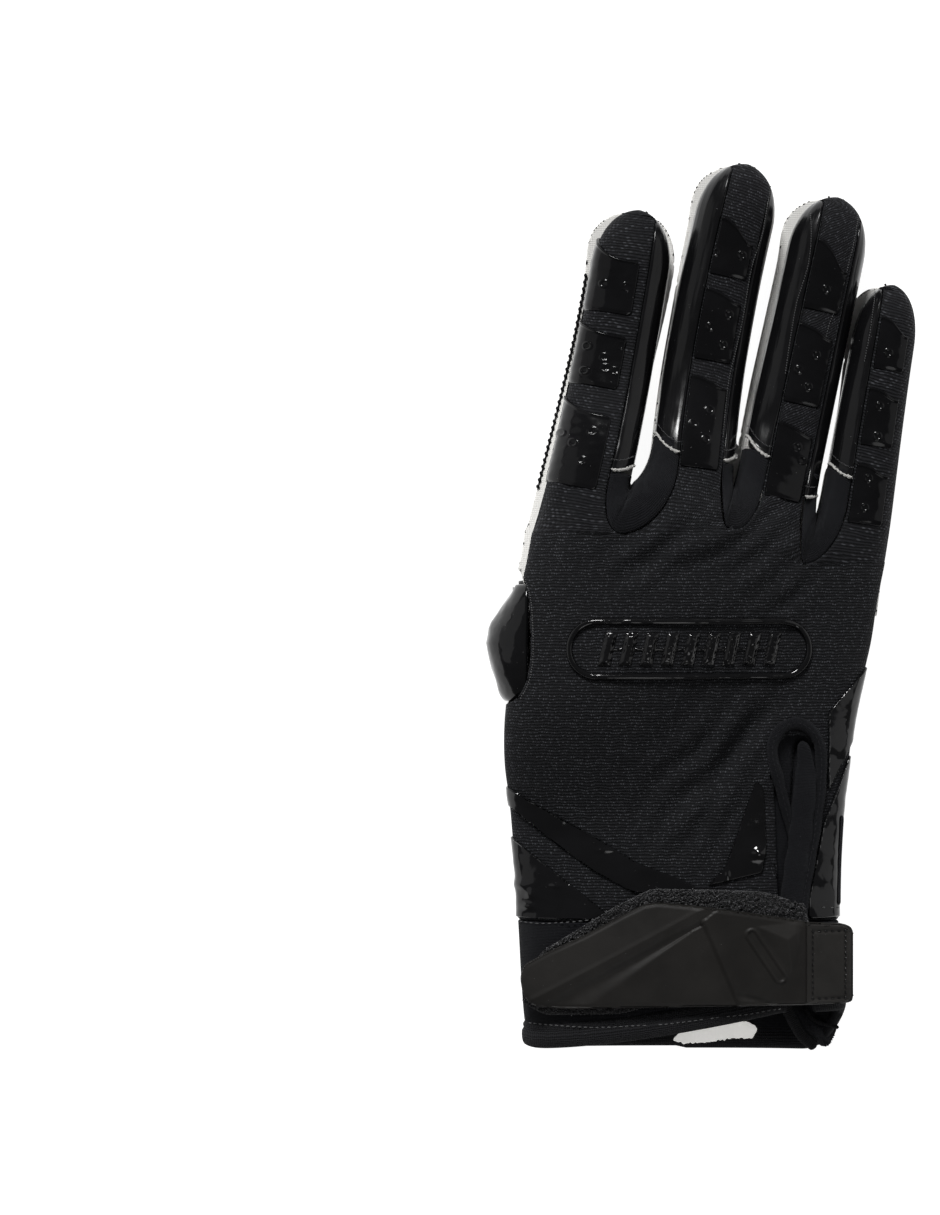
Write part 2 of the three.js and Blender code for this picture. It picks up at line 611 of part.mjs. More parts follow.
// Crotch gussets: from the knit's U-shaped edge, over a soft roll, down the slot between two fingers
const webs = CROTCHES.map((crotch, k) => {
  const [a, b] = [FINGERS[k], FINGERS[k + 1]];
  const [riseA, riseB] = [a.rightRise, b.leftRise].map((r) => r * FINGER_WIDTH);
  const low = crotchPoints[k];
  const lean = radians((a.lean + b.lean) / 2);
  const deep = crotch.depth * FINGER_WIDTH;
  const bottom = flat(low.x + Math.sin(lean) * deep, low.y + Math.cos(lean) * deep);
  const wall = (f, s, q) => fingerPoint(f, s, q);
  const floor = (t) => {
    const [f, rise, q] = t < 0 ? [a, riseA, 1] : [b, riseB, -1];
    const from = wall(f, rise, q);
    const corner = wall(f, Math.max(deep * 0.85, rise * 0.6), q);
    const curve = new THREE.QuadraticBezierCurve(flat(from.x, from.y), flat(corner.x, corner.y), bottom);
    const p = curve.getPoint(1 - Math.abs(t));
    return at(p.x, p.y, from.z);
  };
  const knitRows = fingerRows(a, 0, 6, 4).slice(0, 5);
  const steps = [
    ...[...knitRows, riseA].reverse().map((s) => ({ i: k, edge: 1, s, t: -Math.sqrt(s / riseA) })),
    ...[...knitRows.slice(1), riseB].map((s) => ({ i: k + 1, edge: 0, s, t: Math.sqrt(s / riseB) })),
  ];
  const name = a.name + "_" + b.name + "_gusset";
  const rows = steps.map(({ i, edge, s, t }) => {
    if (Math.abs(t) === 1) return sideRow(FINGERS[i], edge === 1 ? "right" : "left", s);
    const top = stripPoint(i, edge, s);
    const foot = floor(t);
    const roll = range(3, (u) => {
      const { across, up } = section(u, FINGER_POWER);
      return at(lerp(top.x, foot.x, across), lerp(top.y, foot.y, across), lerp(foot.z, top.z, up));
    });
    return [...roll, at(foot.x, foot.y, PALM_STACK)];
  });
  backSkin.patch(rows.reverse(), name);
  const outline = steps.map(({ t }) => floor(t)).map((p) => flat(p.x, p.y));
  const [c, d] = [fingerAt(b, 0), fingerAt(a, 0)];
  return { name, shape: new THREE.Shape([...outline, flat(c.x, c.y), flat(d.x, d.y)]) };
});

backSkin.drape();
const wholeBack = backSkin.wall(-KNIT_WALL, 0, "back_panel");
piece("back_panel", wholeBack.subtract(prism(thumbNotch)).subtract(prism(ventSlot)), MATERIALS.knit);
for (const name of [...sideNames, ...webs.map((web) => web.name)]) {
  piece(name, backSkin.wall(-SIDE_WALL, 0, name), MATERIALS.jersey);
}

// The palm's outline, with a flange that shows beside the walls
const PALM_EDGE = { left: 0.67, right: 0.28, top: 0.94 }; // shares of FLANGE, and of HAND_LENGTH
function fingerOutline(f) {
  const length = f.length * FINGER_LENGTH;
  const shank = range(4, (t) => lerp(-FINGER_WIDTH * 0.6, length - TIP_LENGTH, t));
  const cap = range(5, (t) => length - TIP_LENGTH * (1 - Math.sin((t * Math.PI) / 2))).slice(1);
  const stops = [...shank, ...cap];
  const edge = (s, side) => {
    const c = fingerAt(f, s);
    const flange = FLANGE * (side > 0 ? f.rightEdge : f.leftEdge) * Math.min(1, c.half / (2 * FLANGE));
    const out = (c.half + flange) * side;
    return flat(c.x + c.direction.y * out, c.y - c.direction.x * out);
  };
  const right = stops.map((s) => edge(s, 1));
  const left = stops.reverse().slice(1).map((s) => edge(s, -1));
  return new THREE.Shape([...right, ...left]);
}
const handSides = (side) =>
  range(8, (t) => {
    const y = lerp(WRIST_Y + GAP / 2, WRIST_Y + HAND_LENGTH * (side < 0 ? 1 : PALM_EDGE.top), t);
    const b = body(y);
    const flange = FLANGE * (side < 0 ? PALM_EDGE.left : PALM_EDGE.right);
    return flat(b.x + side * (b.half + flange * smooth(0, HAND_LENGTH * 0.3, y - WRIST_Y)), y);
  });
const ends = FINGERS.map((f) => fingerAt(f, 0)).map((c) => flat(c.x, c.y));
const handShape = new THREE.Shape([...handSides(-1), ...ends, ...handSides(1).reverse()]);
const palmShapes = [...webs.map((web) => web.shape), ...FINGERS.map(fingerOutline)];
const wholePalm = palmShapes.reduce((sum, shape) => sum.add(prism(shape)), prism(handShape));
const palmPrism = wholePalm.subtract(prism(thumbNotch));
const palmLines = {
  x: range(10, (t) => lerp(-0.56, 0.7, t) * KNUCKLE_WIDTH),
  y: [
    ...range(13, (t) => lerp(WRIST_Y - GAP, WRIST_Y + HAND_LENGTH * 1.4, t)),
    WRIST_Y + HAND_LENGTH + FINGER_LENGTH * 1.1,
  ],
};
function palmSheet(z) {
  const skin = new Skin().patch(palmLines.y.map((y) => palmLines.x.map((x) => at(x, y, z))));
  return skin.drape();
}
piece("palm_face", palmSheet(0).wall(0, PALM_FACE_WALL).intersect(palmPrism), MATERIALS.silicone);
const liningZ = PALM_FACE_WALL + GAP;
piece("palm_lining", palmSheet(liningZ).wall(0, PALM_LINING_WALL).intersect(palmPrism), MATERIALS.lining);

// The thumb: an oval sleeve that leaves the hand's edge, turns down round it and runs under the palm to a
// closed tip
const turnZ = THUMB_CLEAR + PALM_STACK / 2;
const TURN_INNER = PALM_STACK / 2 + 2 * GAP;
const squared = (value, power) => Math.sign(value) * Math.abs(value) ** (2 / power);
const oval = (t, power) => {
  const turn = t * 2 * Math.PI;
  return { wide: squared(Math.cos(turn), power), thick: squared(Math.sin(turn), power) };
};
const RING = 10;
const ring = (place) => range(RING, (t) => place(oval(t, FINGER_POWER)));
const turnRings = range(4, (t) => {
  const turn = t * Math.PI;
  const outer = lerp(turnZ * 1.02, turnZ, t);
  return ring(({ wide, thick }) => {
    const r = (TURN_INNER + outer) / 2 + (thick * (outer - TURN_INNER)) / 2;
    const y = thumbFold.y + (wide * THUMB_BASE_WIDTH) / 2;
    return at(thumbFold.x - Math.sin(turn) * r, y, turnZ + Math.cos(turn) * r);
  });
}).slice(0, -1);
const UNDER_MIDDLE = (turnZ - TURN_INNER) / 2;
const underRings = range(7, (u) => {
  const t = 1 - (1 - u) ** 1.6;
  const centre = thumbLine.getPoint(t);
  const along = thumbLine.getTangent(t);
  const cap = Math.sqrt(Math.max(0.0004, 1 - smooth(0.62, 1.08, t) ** 2 * (t === 1 ? 1.2 : 1)));
  const half = (lerp(THUMB_BASE_WIDTH, THUMB_WIDTH, smooth(0, 0.55, t)) / 2) * cap;
  const tall = UNDER_MIDDLE * (0.5 + 0.5 * cap) * (t === 1 ? 0.25 : 1);
  return ring(({ wide, thick }) => {
    const out = half * wide;
    return at(centre.x - along.y * out, centre.y + along.x * out, UNDER_MIDDLE - thick * tall);
  });
});
const thumbSkin = new Skin().patch([...turnRings, ...underRings]);
const thumbTip = thumbLine.getPoint(1).add(thumbLine.getTangent(1).multiplyScalar(THUMB_WALL));
const tipPoint = at(thumbTip.x, thumbTip.y, UNDER_MIDDLE);
thumbSkin.patch([underRings.at(-1), underRings.at(-1).map(() => tipPoint)]);
piece("thumb_sleeve", thumbSkin.wall(0, THUMB_WALL), MATERIALS.silicone);

// The glossy bands and corners
const raisedBack = backSkin.wall(GAP, GAP + OVERLAY_HEIGHT, "back_panel");
for (const [name, outline] of Object.entries(OVERLAYS)) {
  const shape = rounded(outline.map(onHand), 2 * GEL_HEIGHT);
  piece(name, raisedBack.intersect(prism(shape)), MATERIALS.silicone);
}

// The cuff: an open ring from the wrist seam to the hem, slit beside the vent
const HEM_DROP = { thumbSide: 0.955, slit: 0.63, palmSide: 1 }; // shares of CUFF_LENGTH
function cuffSection(q, b) {
  const side = Math.sign(q);
  const low = Math.abs(q) - 1;
  const floor = (HEM_THICKNESS - CUFF_WALL) / 2;
  const widest = sectionZ(0, b.height);
  if (low <= 0) {
    const { across, up } = section(q, HAND_POWER);
    return { across, z: sectionZ(up, b.height) };
  }
  const turn = (low * Math.PI) / 2;
  const down = Math.sin(turn) ** (2 / HAND_POWER);
  return { across: side * Math.cos(turn) ** (2 / HAND_POWER), z: lerp(widest, floor, down) };
}
function cuffPoint(q, t) {
  const share = section(Math.max(-1, Math.min(1, q)), HAND_POWER).across;
  const back = lerp(HEM_DROP.thumbSide, HEM_DROP.slit, clamp01((share + 1) / 1.6) ** 1.5);
  const drop = CUFF_LENGTH * lerp(back, HEM_DROP.palmSide, smooth(0.9, 1.5, Math.abs(q)));
  const y = lerp(WRIST_Y - GAP / 2, WRIST_Y - drop, t);
  const b = body(y);
  const { across, z } = cuffSection(q, b);
  return at(b.x + across * b.half, y, z);
}
const slitQ = { left: seamQ(0.605, HAND_POWER), right: seamQ(0.68, HAND_POWER) };
function openSlit(q, t) {
  const spread = q > slitQ.left ? 0.14 : 0.02;
  return q > 0 && q < 1 ? q + spread * t * smooth(1, 0.6, q) : q;
}
const cuffTurns = [
  ...range(9, (t) => lerp(slitQ.left, -1, t)),
  ...range(8, (t) => lerp(-1, -2, t)).slice(1),
  ...range(8, (t) => lerp(2, 1, t)).slice(1),
  ...range(3, (t) => lerp(1, slitQ.right, t)).slice(1),
];
const cuffEnd = 1 - (HEM_HEIGHT + GAP) / CUFF_LENGTH;
const cuffRow = (t) => cuffTurns.map((q) => cuffPoint(openSlit(q, t), t * cuffEnd));
const cuffSkin = new Skin().patch(range(4, cuffRow));
piece("cuff", cuffSkin.wall(-CUFF_WALL, 0), MATERIALS.jersey);

// The hem: a rolled edge along the cuff's end
const hemLine = cuffRow(1);
const aheadOf = (line, i) => {
  const [before, after] = [line[Math.max(i - 1, 0)], line[Math.min(i + 1, line.length - 1)]];
  return after.clone().sub(before);
};

// A closed band round a line of points: rings of points, with a flat cap at each end.
function cord(rings) {
  const positions = rings.flat().flatMap((p) => p.toArray());
  const sides = rings[0].length;
  const triangles = [];
  for (let i = 0; i + 1 < rings.length; i++) {
    for (let k = 0; k < sides; k++) {
      const [a, b] = [i * sides + k, i * sides + ((k + 1) % sides)];
      triangles.push([a, b, b + sides], [a, b + sides, a + sides]);
    }
  }
  const last = (rings.length - 1) * sides;
  for (let k = 1; k + 1 < sides; k++) {
    triangles.push([0, k + 1, k], [last, last + k, last + k + 1]);
  }
  return solidOf(positions, triangles);
}
const CORD_SIDES = 6;
function ovalRing(power, place) {
  return range(CORD_SIDES, (t) => place(oval(t + 0.5 / CORD_SIDES, power))).slice(1);
}
const hemRings = hemLine.map((p, i) => {
  const ahead = aheadOf(hemLine, i).setY(0).normalize();
  const out = at(ahead.z, 0, -ahead.x);
  return ovalRing(2.2, ({ wide, thick }) => {
    const here = p.clone().addScaledVector(out, -CUFF_WALL / 2 + (thick * HEM_THICKNESS) / 2);
    return here.setY(p.y - GAP - (HEM_HEIGHT / 2) * (1 + wide));
  });
});
piece("cuff_hem", cord(hemRings), MATERIALS.webbing);

// The vent's bound edge: a flat band round the slit, lying on the knit
const drapedBack = (x, y) => drape(at(x, y, backZ(x, y))).z;
const bindingPath = ventOutline(0, BINDING_WIDTH + 2 * GAP, 5);
const bindingRings = bindingPath.map((p, i) => {
  const ahead = aheadOf(bindingPath, i).normalize();
  return ovalRing(2.4, ({ wide, thick }) => {
    const out = (wide * BINDING_WIDTH) / 2;
    const [x, y] = [p.x - ahead.y * out, Math.max(p.y, WRIST_Y + GAP) + ahead.x * out];
    return at(x, y, drapedBack(x, y) + 2 * GAP + (BINDING_HEIGHT / 2) * (1 + thick));
  });
});
piece("vent_binding", cord(bindingRings), MATERIALS.jersey);
const tongue = prism(new THREE.Shape(ventOutline(BINDING_WIDTH * 0.6)));
const underBack = backSkin.wall(-KNIT_WALL - GAP - SIDE_WALL, -KNIT_WALL - GAP, "back_panel");
piece("vent_gusset", underBack.intersect(tongue), MATERIALS.jersey);

// The closure on the cuff's back: a fuzzy pad, and over it the pull strap with its ribs and sewn square end
const strapFoot = CUFF_LENGTH * -0.62;
const onStrap = ({ along, across }) =>
  flat((along - 0.485) * STRAP_LENGTH, WRIST_Y + strapFoot + across * STRAP_WIDTH);
function strapSheet(base) {
  const columns = range(11, (t) => lerp(-0.53, 0.56, t) * STRAP_LENGTH);
  const rows = range(2, (t) => WRIST_Y + strapFoot + lerp(-0.14, 1.06, t) * STRAP_WIDTH);
  const droop = (x) => HAND_HEIGHT * 0.27 * Math.abs((x - body(WRIST_Y).x) / (STRAP_LENGTH / 2)) ** 3;
  const crown = sectionZ(1, HAND_HEIGHT) + base;
  return new Skin().patch(rows.map((y) => columns.map((x) => at(x, y, crown - droop(x)))));
}
const loopShape = rounded(PAD_OUTLINE.map(onStrap), STRAP_THICKNESS);
piece("loop_pad", strapSheet(GAP).wall(0, LOOP_HEIGHT).intersect(prism(loopShape)), MATERIALS.loop);
const strapBase = GAP + LOOP_HEIGHT + GAP;
const strapShape = rounded(STRAP_OUTLINE.map(onStrap), STRAP_TIP_RADIUS * 0.6);
const strapBody = strapSheet(strapBase).wall(0, STRAP_THICKNESS).intersect(prism(strapShape));
const ribPrisms = RIBS.map((outline) => prism(new THREE.Shape(outline.map(onStrap))));
const ribPrism = ribPrisms.reduce((sum, rib) => sum.add(rib));
const ribWall = strapSheet(strapBase).wall(STRAP_THICKNESS / 2, STRAP_THICKNESS + STRAP_RIB / 2);
piece("strap", strapBody.add(ribWall.intersect(ribPrism)), MATERIALS.rubber);

// The badge on the back: a raised round-ended rim with plain bars where the name would be
const badgeAt = onHand({ x: 0.025, y: 0.692 });
const stadium = (length, width) => {
  const shape = new THREE.Shape();
  shape.absarc(badgeAt.x + (length - width) / 2, badgeAt.y, width / 2, -Math.PI / 2, Math.PI / 2);
  shape.absarc(badgeAt.x - (length - width) / 2, badgeAt.y, width / 2, Math.PI / 2, (3 * Math.PI) / 2);
  return prism(shape, 6);
};
const slab = (cx, cy, width, height) => {
  const [l, r, d, u] = [cx - width / 2, cx + width / 2, cy - height / 2, cy + height / 2];
  return prism(new THREE.Shape([flat(l, d), flat(r, d), flat(r, u), flat(l, u)]));
};
const raised = backSkin.wall(GAP, GAP + BADGE_HEIGHT, "back_panel");
const inside = stadium(BADGE_LENGTH - BADGE_RIM, BADGE_WIDTH - BADGE_RIM);
const rim = stadium(BADGE_LENGTH, BADGE_WIDTH).subtract(inside);
piece("badge_rim", raised.intersect(rim), MATERIALS.silicone);
const barStep = (BADGE_LENGTH - BADGE_WIDTH) / BADGE_BARS;
const barRun = (BADGE_BARS - 1) * barStep;
const bars = range(BADGE_BARS - 1, (t) =>
  slab(badgeAt.x + (t - 0.5) * barRun, badgeAt.y, barStep * 0.55, BADGE_WIDTH * 0.5),
);
const spine = slab(badgeAt.x, badgeAt.y, barRun, BADGE_WIDTH * 0.1);
piece("badge_bars", raised.intersect(bars.reduce((sum, bar) => sum.add(bar), spine)), MATERIALS.silicone);

// The blank label on the cuff's palm side, inside
const labelY = WRIST_Y - CUFF_LENGTH * 0.86;
const labelRow = (v) => range(1, (u) => at((u - 0.3) * LABEL_LENGTH, labelY + (v - 0.5) * LABEL_WIDTH, 0));
const labelSkin = new Skin().patch(range(1, labelRow));
const cuffFloor = HEM_THICKNESS + 2 * GAP;
piece("wrist_label", labelSkin.wall(cuffFloor, cuffFloor + LABEL_WALL), MATERIALS.lining);

// The finger pads: three to a finger, each a raised tile that follows the finger
const PAD_BASE = 2.3 * GAP;
for (const [i, f] of FINGERS.entries()) {
  const length = f.length * FINGER_LENGTH;
  for (const pad of PAD_ROWS) {
    const rows = range(3, (v) => {
      const squeeze = 0.06 * (2 * v - 1) ** 4;
      return range(f.padColumns, (u) => {
        const bend = 0.012 * (2 * u - 1) ** 4 * (1 - 2 * v);
        const s = lerp(pad.from, pad.to + pad.slant * smooth(1, 0, u), v) + bend;
        const across = lerp(f.padLeft, f.padRight, lerp(squeeze, 1 - squeeze, u));
        return stripPoint(i, across, s * length);
      });
    });
    const tile = new Skin().patch(rows).drape().wall(PAD_BASE, PAD_BASE + GEL_HEIGHT);
    piece(f.name + "_" + pad.name + "_pad", tile, MATERIALS.gel);
  }
}

export default glove;
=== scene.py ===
"""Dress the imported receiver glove: knit back, side strips, glossy pads and bands, vent, cuff and strap.

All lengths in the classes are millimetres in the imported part's own frame: +X to the little finger's
side, +Y to the fingertips, +Z up out of the back of the hand. Meshes are written in metres.
"""
from __future__ import annotations

import logging
import math
from dataclasses import dataclass, field
from enum import Enum
from typing import Callable, Sequence

import bpy
import numpy as np
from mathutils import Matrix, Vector

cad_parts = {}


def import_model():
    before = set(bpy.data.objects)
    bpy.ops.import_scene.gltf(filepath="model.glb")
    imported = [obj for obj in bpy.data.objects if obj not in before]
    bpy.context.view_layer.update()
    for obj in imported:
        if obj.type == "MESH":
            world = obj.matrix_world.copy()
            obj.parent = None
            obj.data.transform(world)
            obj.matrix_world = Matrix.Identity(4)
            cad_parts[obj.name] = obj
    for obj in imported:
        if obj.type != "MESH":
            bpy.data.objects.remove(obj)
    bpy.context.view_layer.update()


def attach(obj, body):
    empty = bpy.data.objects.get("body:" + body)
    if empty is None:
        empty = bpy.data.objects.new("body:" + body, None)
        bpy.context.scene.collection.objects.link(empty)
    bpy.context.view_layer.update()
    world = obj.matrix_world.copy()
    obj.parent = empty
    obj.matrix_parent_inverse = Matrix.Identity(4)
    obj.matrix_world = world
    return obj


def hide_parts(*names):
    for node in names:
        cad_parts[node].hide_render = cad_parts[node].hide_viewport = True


LOG = logging.getLogger("glove")
MM = 0.001
Array = np.ndarray
Material = bpy.types.Material
Node = bpy.types.Node
Socket = bpy.types.NodeSocket
Tree = bpy.types.NodeTree

# Points of a smooth curve between two of the points given for it
CURVE_STEPS = 24
# How far a stitch's pattern runs round a tube, in millimetres of the plan map
GIRTH_MAP = 20


def lerp(a: Array | float, b: Array | float, t: Array | float) -> Array:
    """Return the value a share t of the way from a to b."""
    return a + (np.asarray(b) - a) * t


def smooth(low: float, high: float, value: Array | float) -> Array:
    """Return 0 at low and 1 at high, easing in and out between them."""
    t = np.clip((np.asarray(value, float) - low) / (high - low), 0.0, 1.0)
    return t * t * (3.0 - 2.0 * t)


def bell(distance: Array, width: Array | float) -> Array:
    """Return a bell curve: 1 at no distance and 0.37 at the width."""
    return np.exp(-((distance / width) ** 2))


def squared(wave: Array, power: float) -> Array:
    """Return a sine or cosine bent so that the two draw a super-ellipse of the power."""
    return np.sign(wave) * np.abs(wave) ** (2 / power)


def unit(v: Array) -> Array:
    """Return vectors scaled to length 1; a zero vector becomes +Z."""
    size = np.linalg.norm(v, axis=-1, keepdims=True)
    out = np.divide(v, size, out=np.zeros_like(v), where=size > 1e-9)
    out[size[..., 0] <= 1e-9] = (0.0, 0.0, 1.0)
    return out


def points3(x: Array, y: Array, z: Array | float) -> Array:
    """Stack three coordinates into one array of points."""
    return np.stack(np.broadcast_arrays(x, y, z), axis=-1).astype(float)


def ripple(x: Array, y: Array, seed: int, size: float) -> Array:
    """Return soft random hills between about -1 and 1.

    The height is a sum of nine plane sine waves with random directions and phases, their lengths
    spread from 0.6 to 1.8 times size.

    Args:
        x: First coordinate.
        y: Second coordinate.
        seed: Picks the waves.
        size: Typical length of a hill.
    """
    waves = 9
    rng = np.random.default_rng(seed)
    total = np.zeros(np.broadcast(x, y).shape)
    for _ in range(waves):
        turn, phase = rng.uniform(0, 2 * math.pi), rng.uniform(0, 2 * math.pi)
        length = size * rng.uniform(0.6, 1.8)
        total = total + np.sin((x * math.cos(turn) + y * math.sin(turn)) * 2 * math.pi / length + phase)
    return total / (waves / 2)


# Millimetres to a pixel of the photograph, and the pixel at which the part's frame has its origin
PICTURE_SCALE = 0.265
PICTURE_ORIGIN = (678.0, 832.1)


def spots(*places: tuple[float, float]) -> Array:
    """Turn places read off the photograph, in its pixels, into millimetres on the plan."""
    return (np.array(places, float) - PICTURE_ORIGIN) * (PICTURE_SCALE, -PICTURE_SCALE)


def beyond(plan: Array, start: Array, end: Array) -> Array:
    """Return each point's distance from a straight line, positive on the left of its run."""
    run = (end - start) / np.linalg.norm(end - start)
    return run[0] * (plan[..., 1] - start[1]) - run[1] * (plan[..., 0] - start[0])


def rounded_outline(corners: Sequence[Sequence[float]], radius: float, steps: int = 8) -> Array:
    """Return a closed outline whose corners are quadratic curves.

    Args:
        corners: The outline's corners in order.
        radius: How far a corner's curve reaches along its two sides, at most about half of each.
        steps: Points in each curve.
    """
    pts = np.asarray(corners, float)
    out = []
    for before, here, after in zip(np.roll(pts, 1, 0), pts, np.roll(pts, -1, 0)):
        a, b = np.linalg.norm(here - before), np.linalg.norm(after - here)
        start = here + (before - here) * min(radius, a * 0.49) / a
        end = here + (after - here) * min(radius, b * 0.49) / b
        t = np.linspace(0, 1, steps)[:, None]
        out.append((1 - t) ** 2 * start + 2 * t * (1 - t) * here + t * t * end)
    return np.concatenate(out)


def outline_distance(xy: Array, outline: Array) -> Array:
    """Return each point's distance to a closed outline, negative inside it.

    A point is inside when a ray from it crosses the outline an odd number of times.

    Args:
        xy: The points, in any shape, with their two coordinates last.
        outline: The outline's corners, the first not repeated at the end.
    """
    p = xy.reshape(-1, 2)
    inside = np.zeros(len(p), bool)
    for a, b in zip(outline, np.roll(outline, -1, 0)):
        if a[1] != b[1]:
            crosses = (a[1] > p[:, 1]) != (b[1] > p[:, 1])
            at_x = a[0] + (p[:, 1] - a[1]) * (b - a)[0] / (b - a)[1]
            inside ^= crosses & (p[:, 0] < at_x)
    away = path_distance(xy, np.concatenate([outline, outline[:1]]))
    return np.where(inside.reshape(away.shape), -away, away)


def path_distance(xy: Array, path: Array) -> Array:
    """Return each point's distance to an open path: the least over all its edges.

    Args:
        xy: The points, in any shape, with their two coordinates last.
        path: The path's points.
    """
    p = xy.reshape(-1, 2)
    best = np.full(len(p), np.inf)
    for a, b in zip(path[:-1], path[1:]):
        edge = b - a
        t = np.clip(((p - a) @ edge) / max(edge @ edge, 1e-12), 0, 1)
        best = np.minimum(best, np.linalg.norm(p - a - t[:, None] * edge, axis=1))
    return best.reshape(xy.shape[:-1])


def path_run(path: Array) -> Array:
    """Return how far a path has run at each of its points."""
    return np.concatenate([[0], np.cumsum(np.linalg.norm(np.diff(path, axis=0), axis=1))])


def read_along(path: Array, at: Array) -> Array:
    """Return a path's points at distances run along it."""
    run = path_run(path)
    return np.stack([np.interp(at, run, path[:, k]) for k in range(path.shape[1])], axis=1)


def smooth_path(points: Sequence[Sequence[float]], count: int) -> Array:
    """Return a smooth path through points: a Catmull-Rom curve, evenly spaced along its length.

    Args:
        points: What it runs through, with two or three coordinates each.
        count: How many points it gets.
    """
    p = np.asarray(points, float)
    p = np.concatenate([[2 * p[0] - p[1]], p, [2 * p[-1] - p[-2]]])
    out = []
    for i in range(1, len(p) - 2):
        t = np.linspace(0, 1, CURVE_STEPS, endpoint=False)[:, None]
        a, b, c, d = p[i - 1], p[i], p[i + 1], p[i + 2]
        bend, twist = 2 * a - 5 * b + 4 * c - d, 3 * b - a - 3 * c + d
        out.append(0.5 * (2 * b + (c - a) * t + bend * t**2 + twist * t**3))
    dense = np.concatenate(out + [p[-2:-1]])
    return read_along(dense, np.linspace(0, path_run(dense)[-1], count))


@dataclass(frozen=True)
class Finger:
    """One finger: its place as shares of the knuckle width and hand length, and its own shares."""

    name: str
    x: float
    y: float
    length: float
    width: float
    tip: float
    lean: float
    bow: float
    left: float
    right: float
    left_rise: float
    right_rise: float


FINGERS = (
    Finger("index", -0.287, 0.981, 0.894, 0.975, 0.925, 11.3, 0.014, -1, 0.44, 0, 0.84),
    Finger("middle", 0.02, 0.995, 1.0, 1.0, 0.955, 9.9, -0.022, -0.37, 0.7, 1.07, 0.84),
    Finger("ring", 0.24, 0.95, 0.965, 0.99, 0.93, 12.1, 0.0, -0.36, 0.68, 1.12, 1.0),
    Finger("little", 0.482, 0.912, 0.757, 0.865, 0.74, 9.0, -0.006, -0.34, 1, 1.1, 0),
)


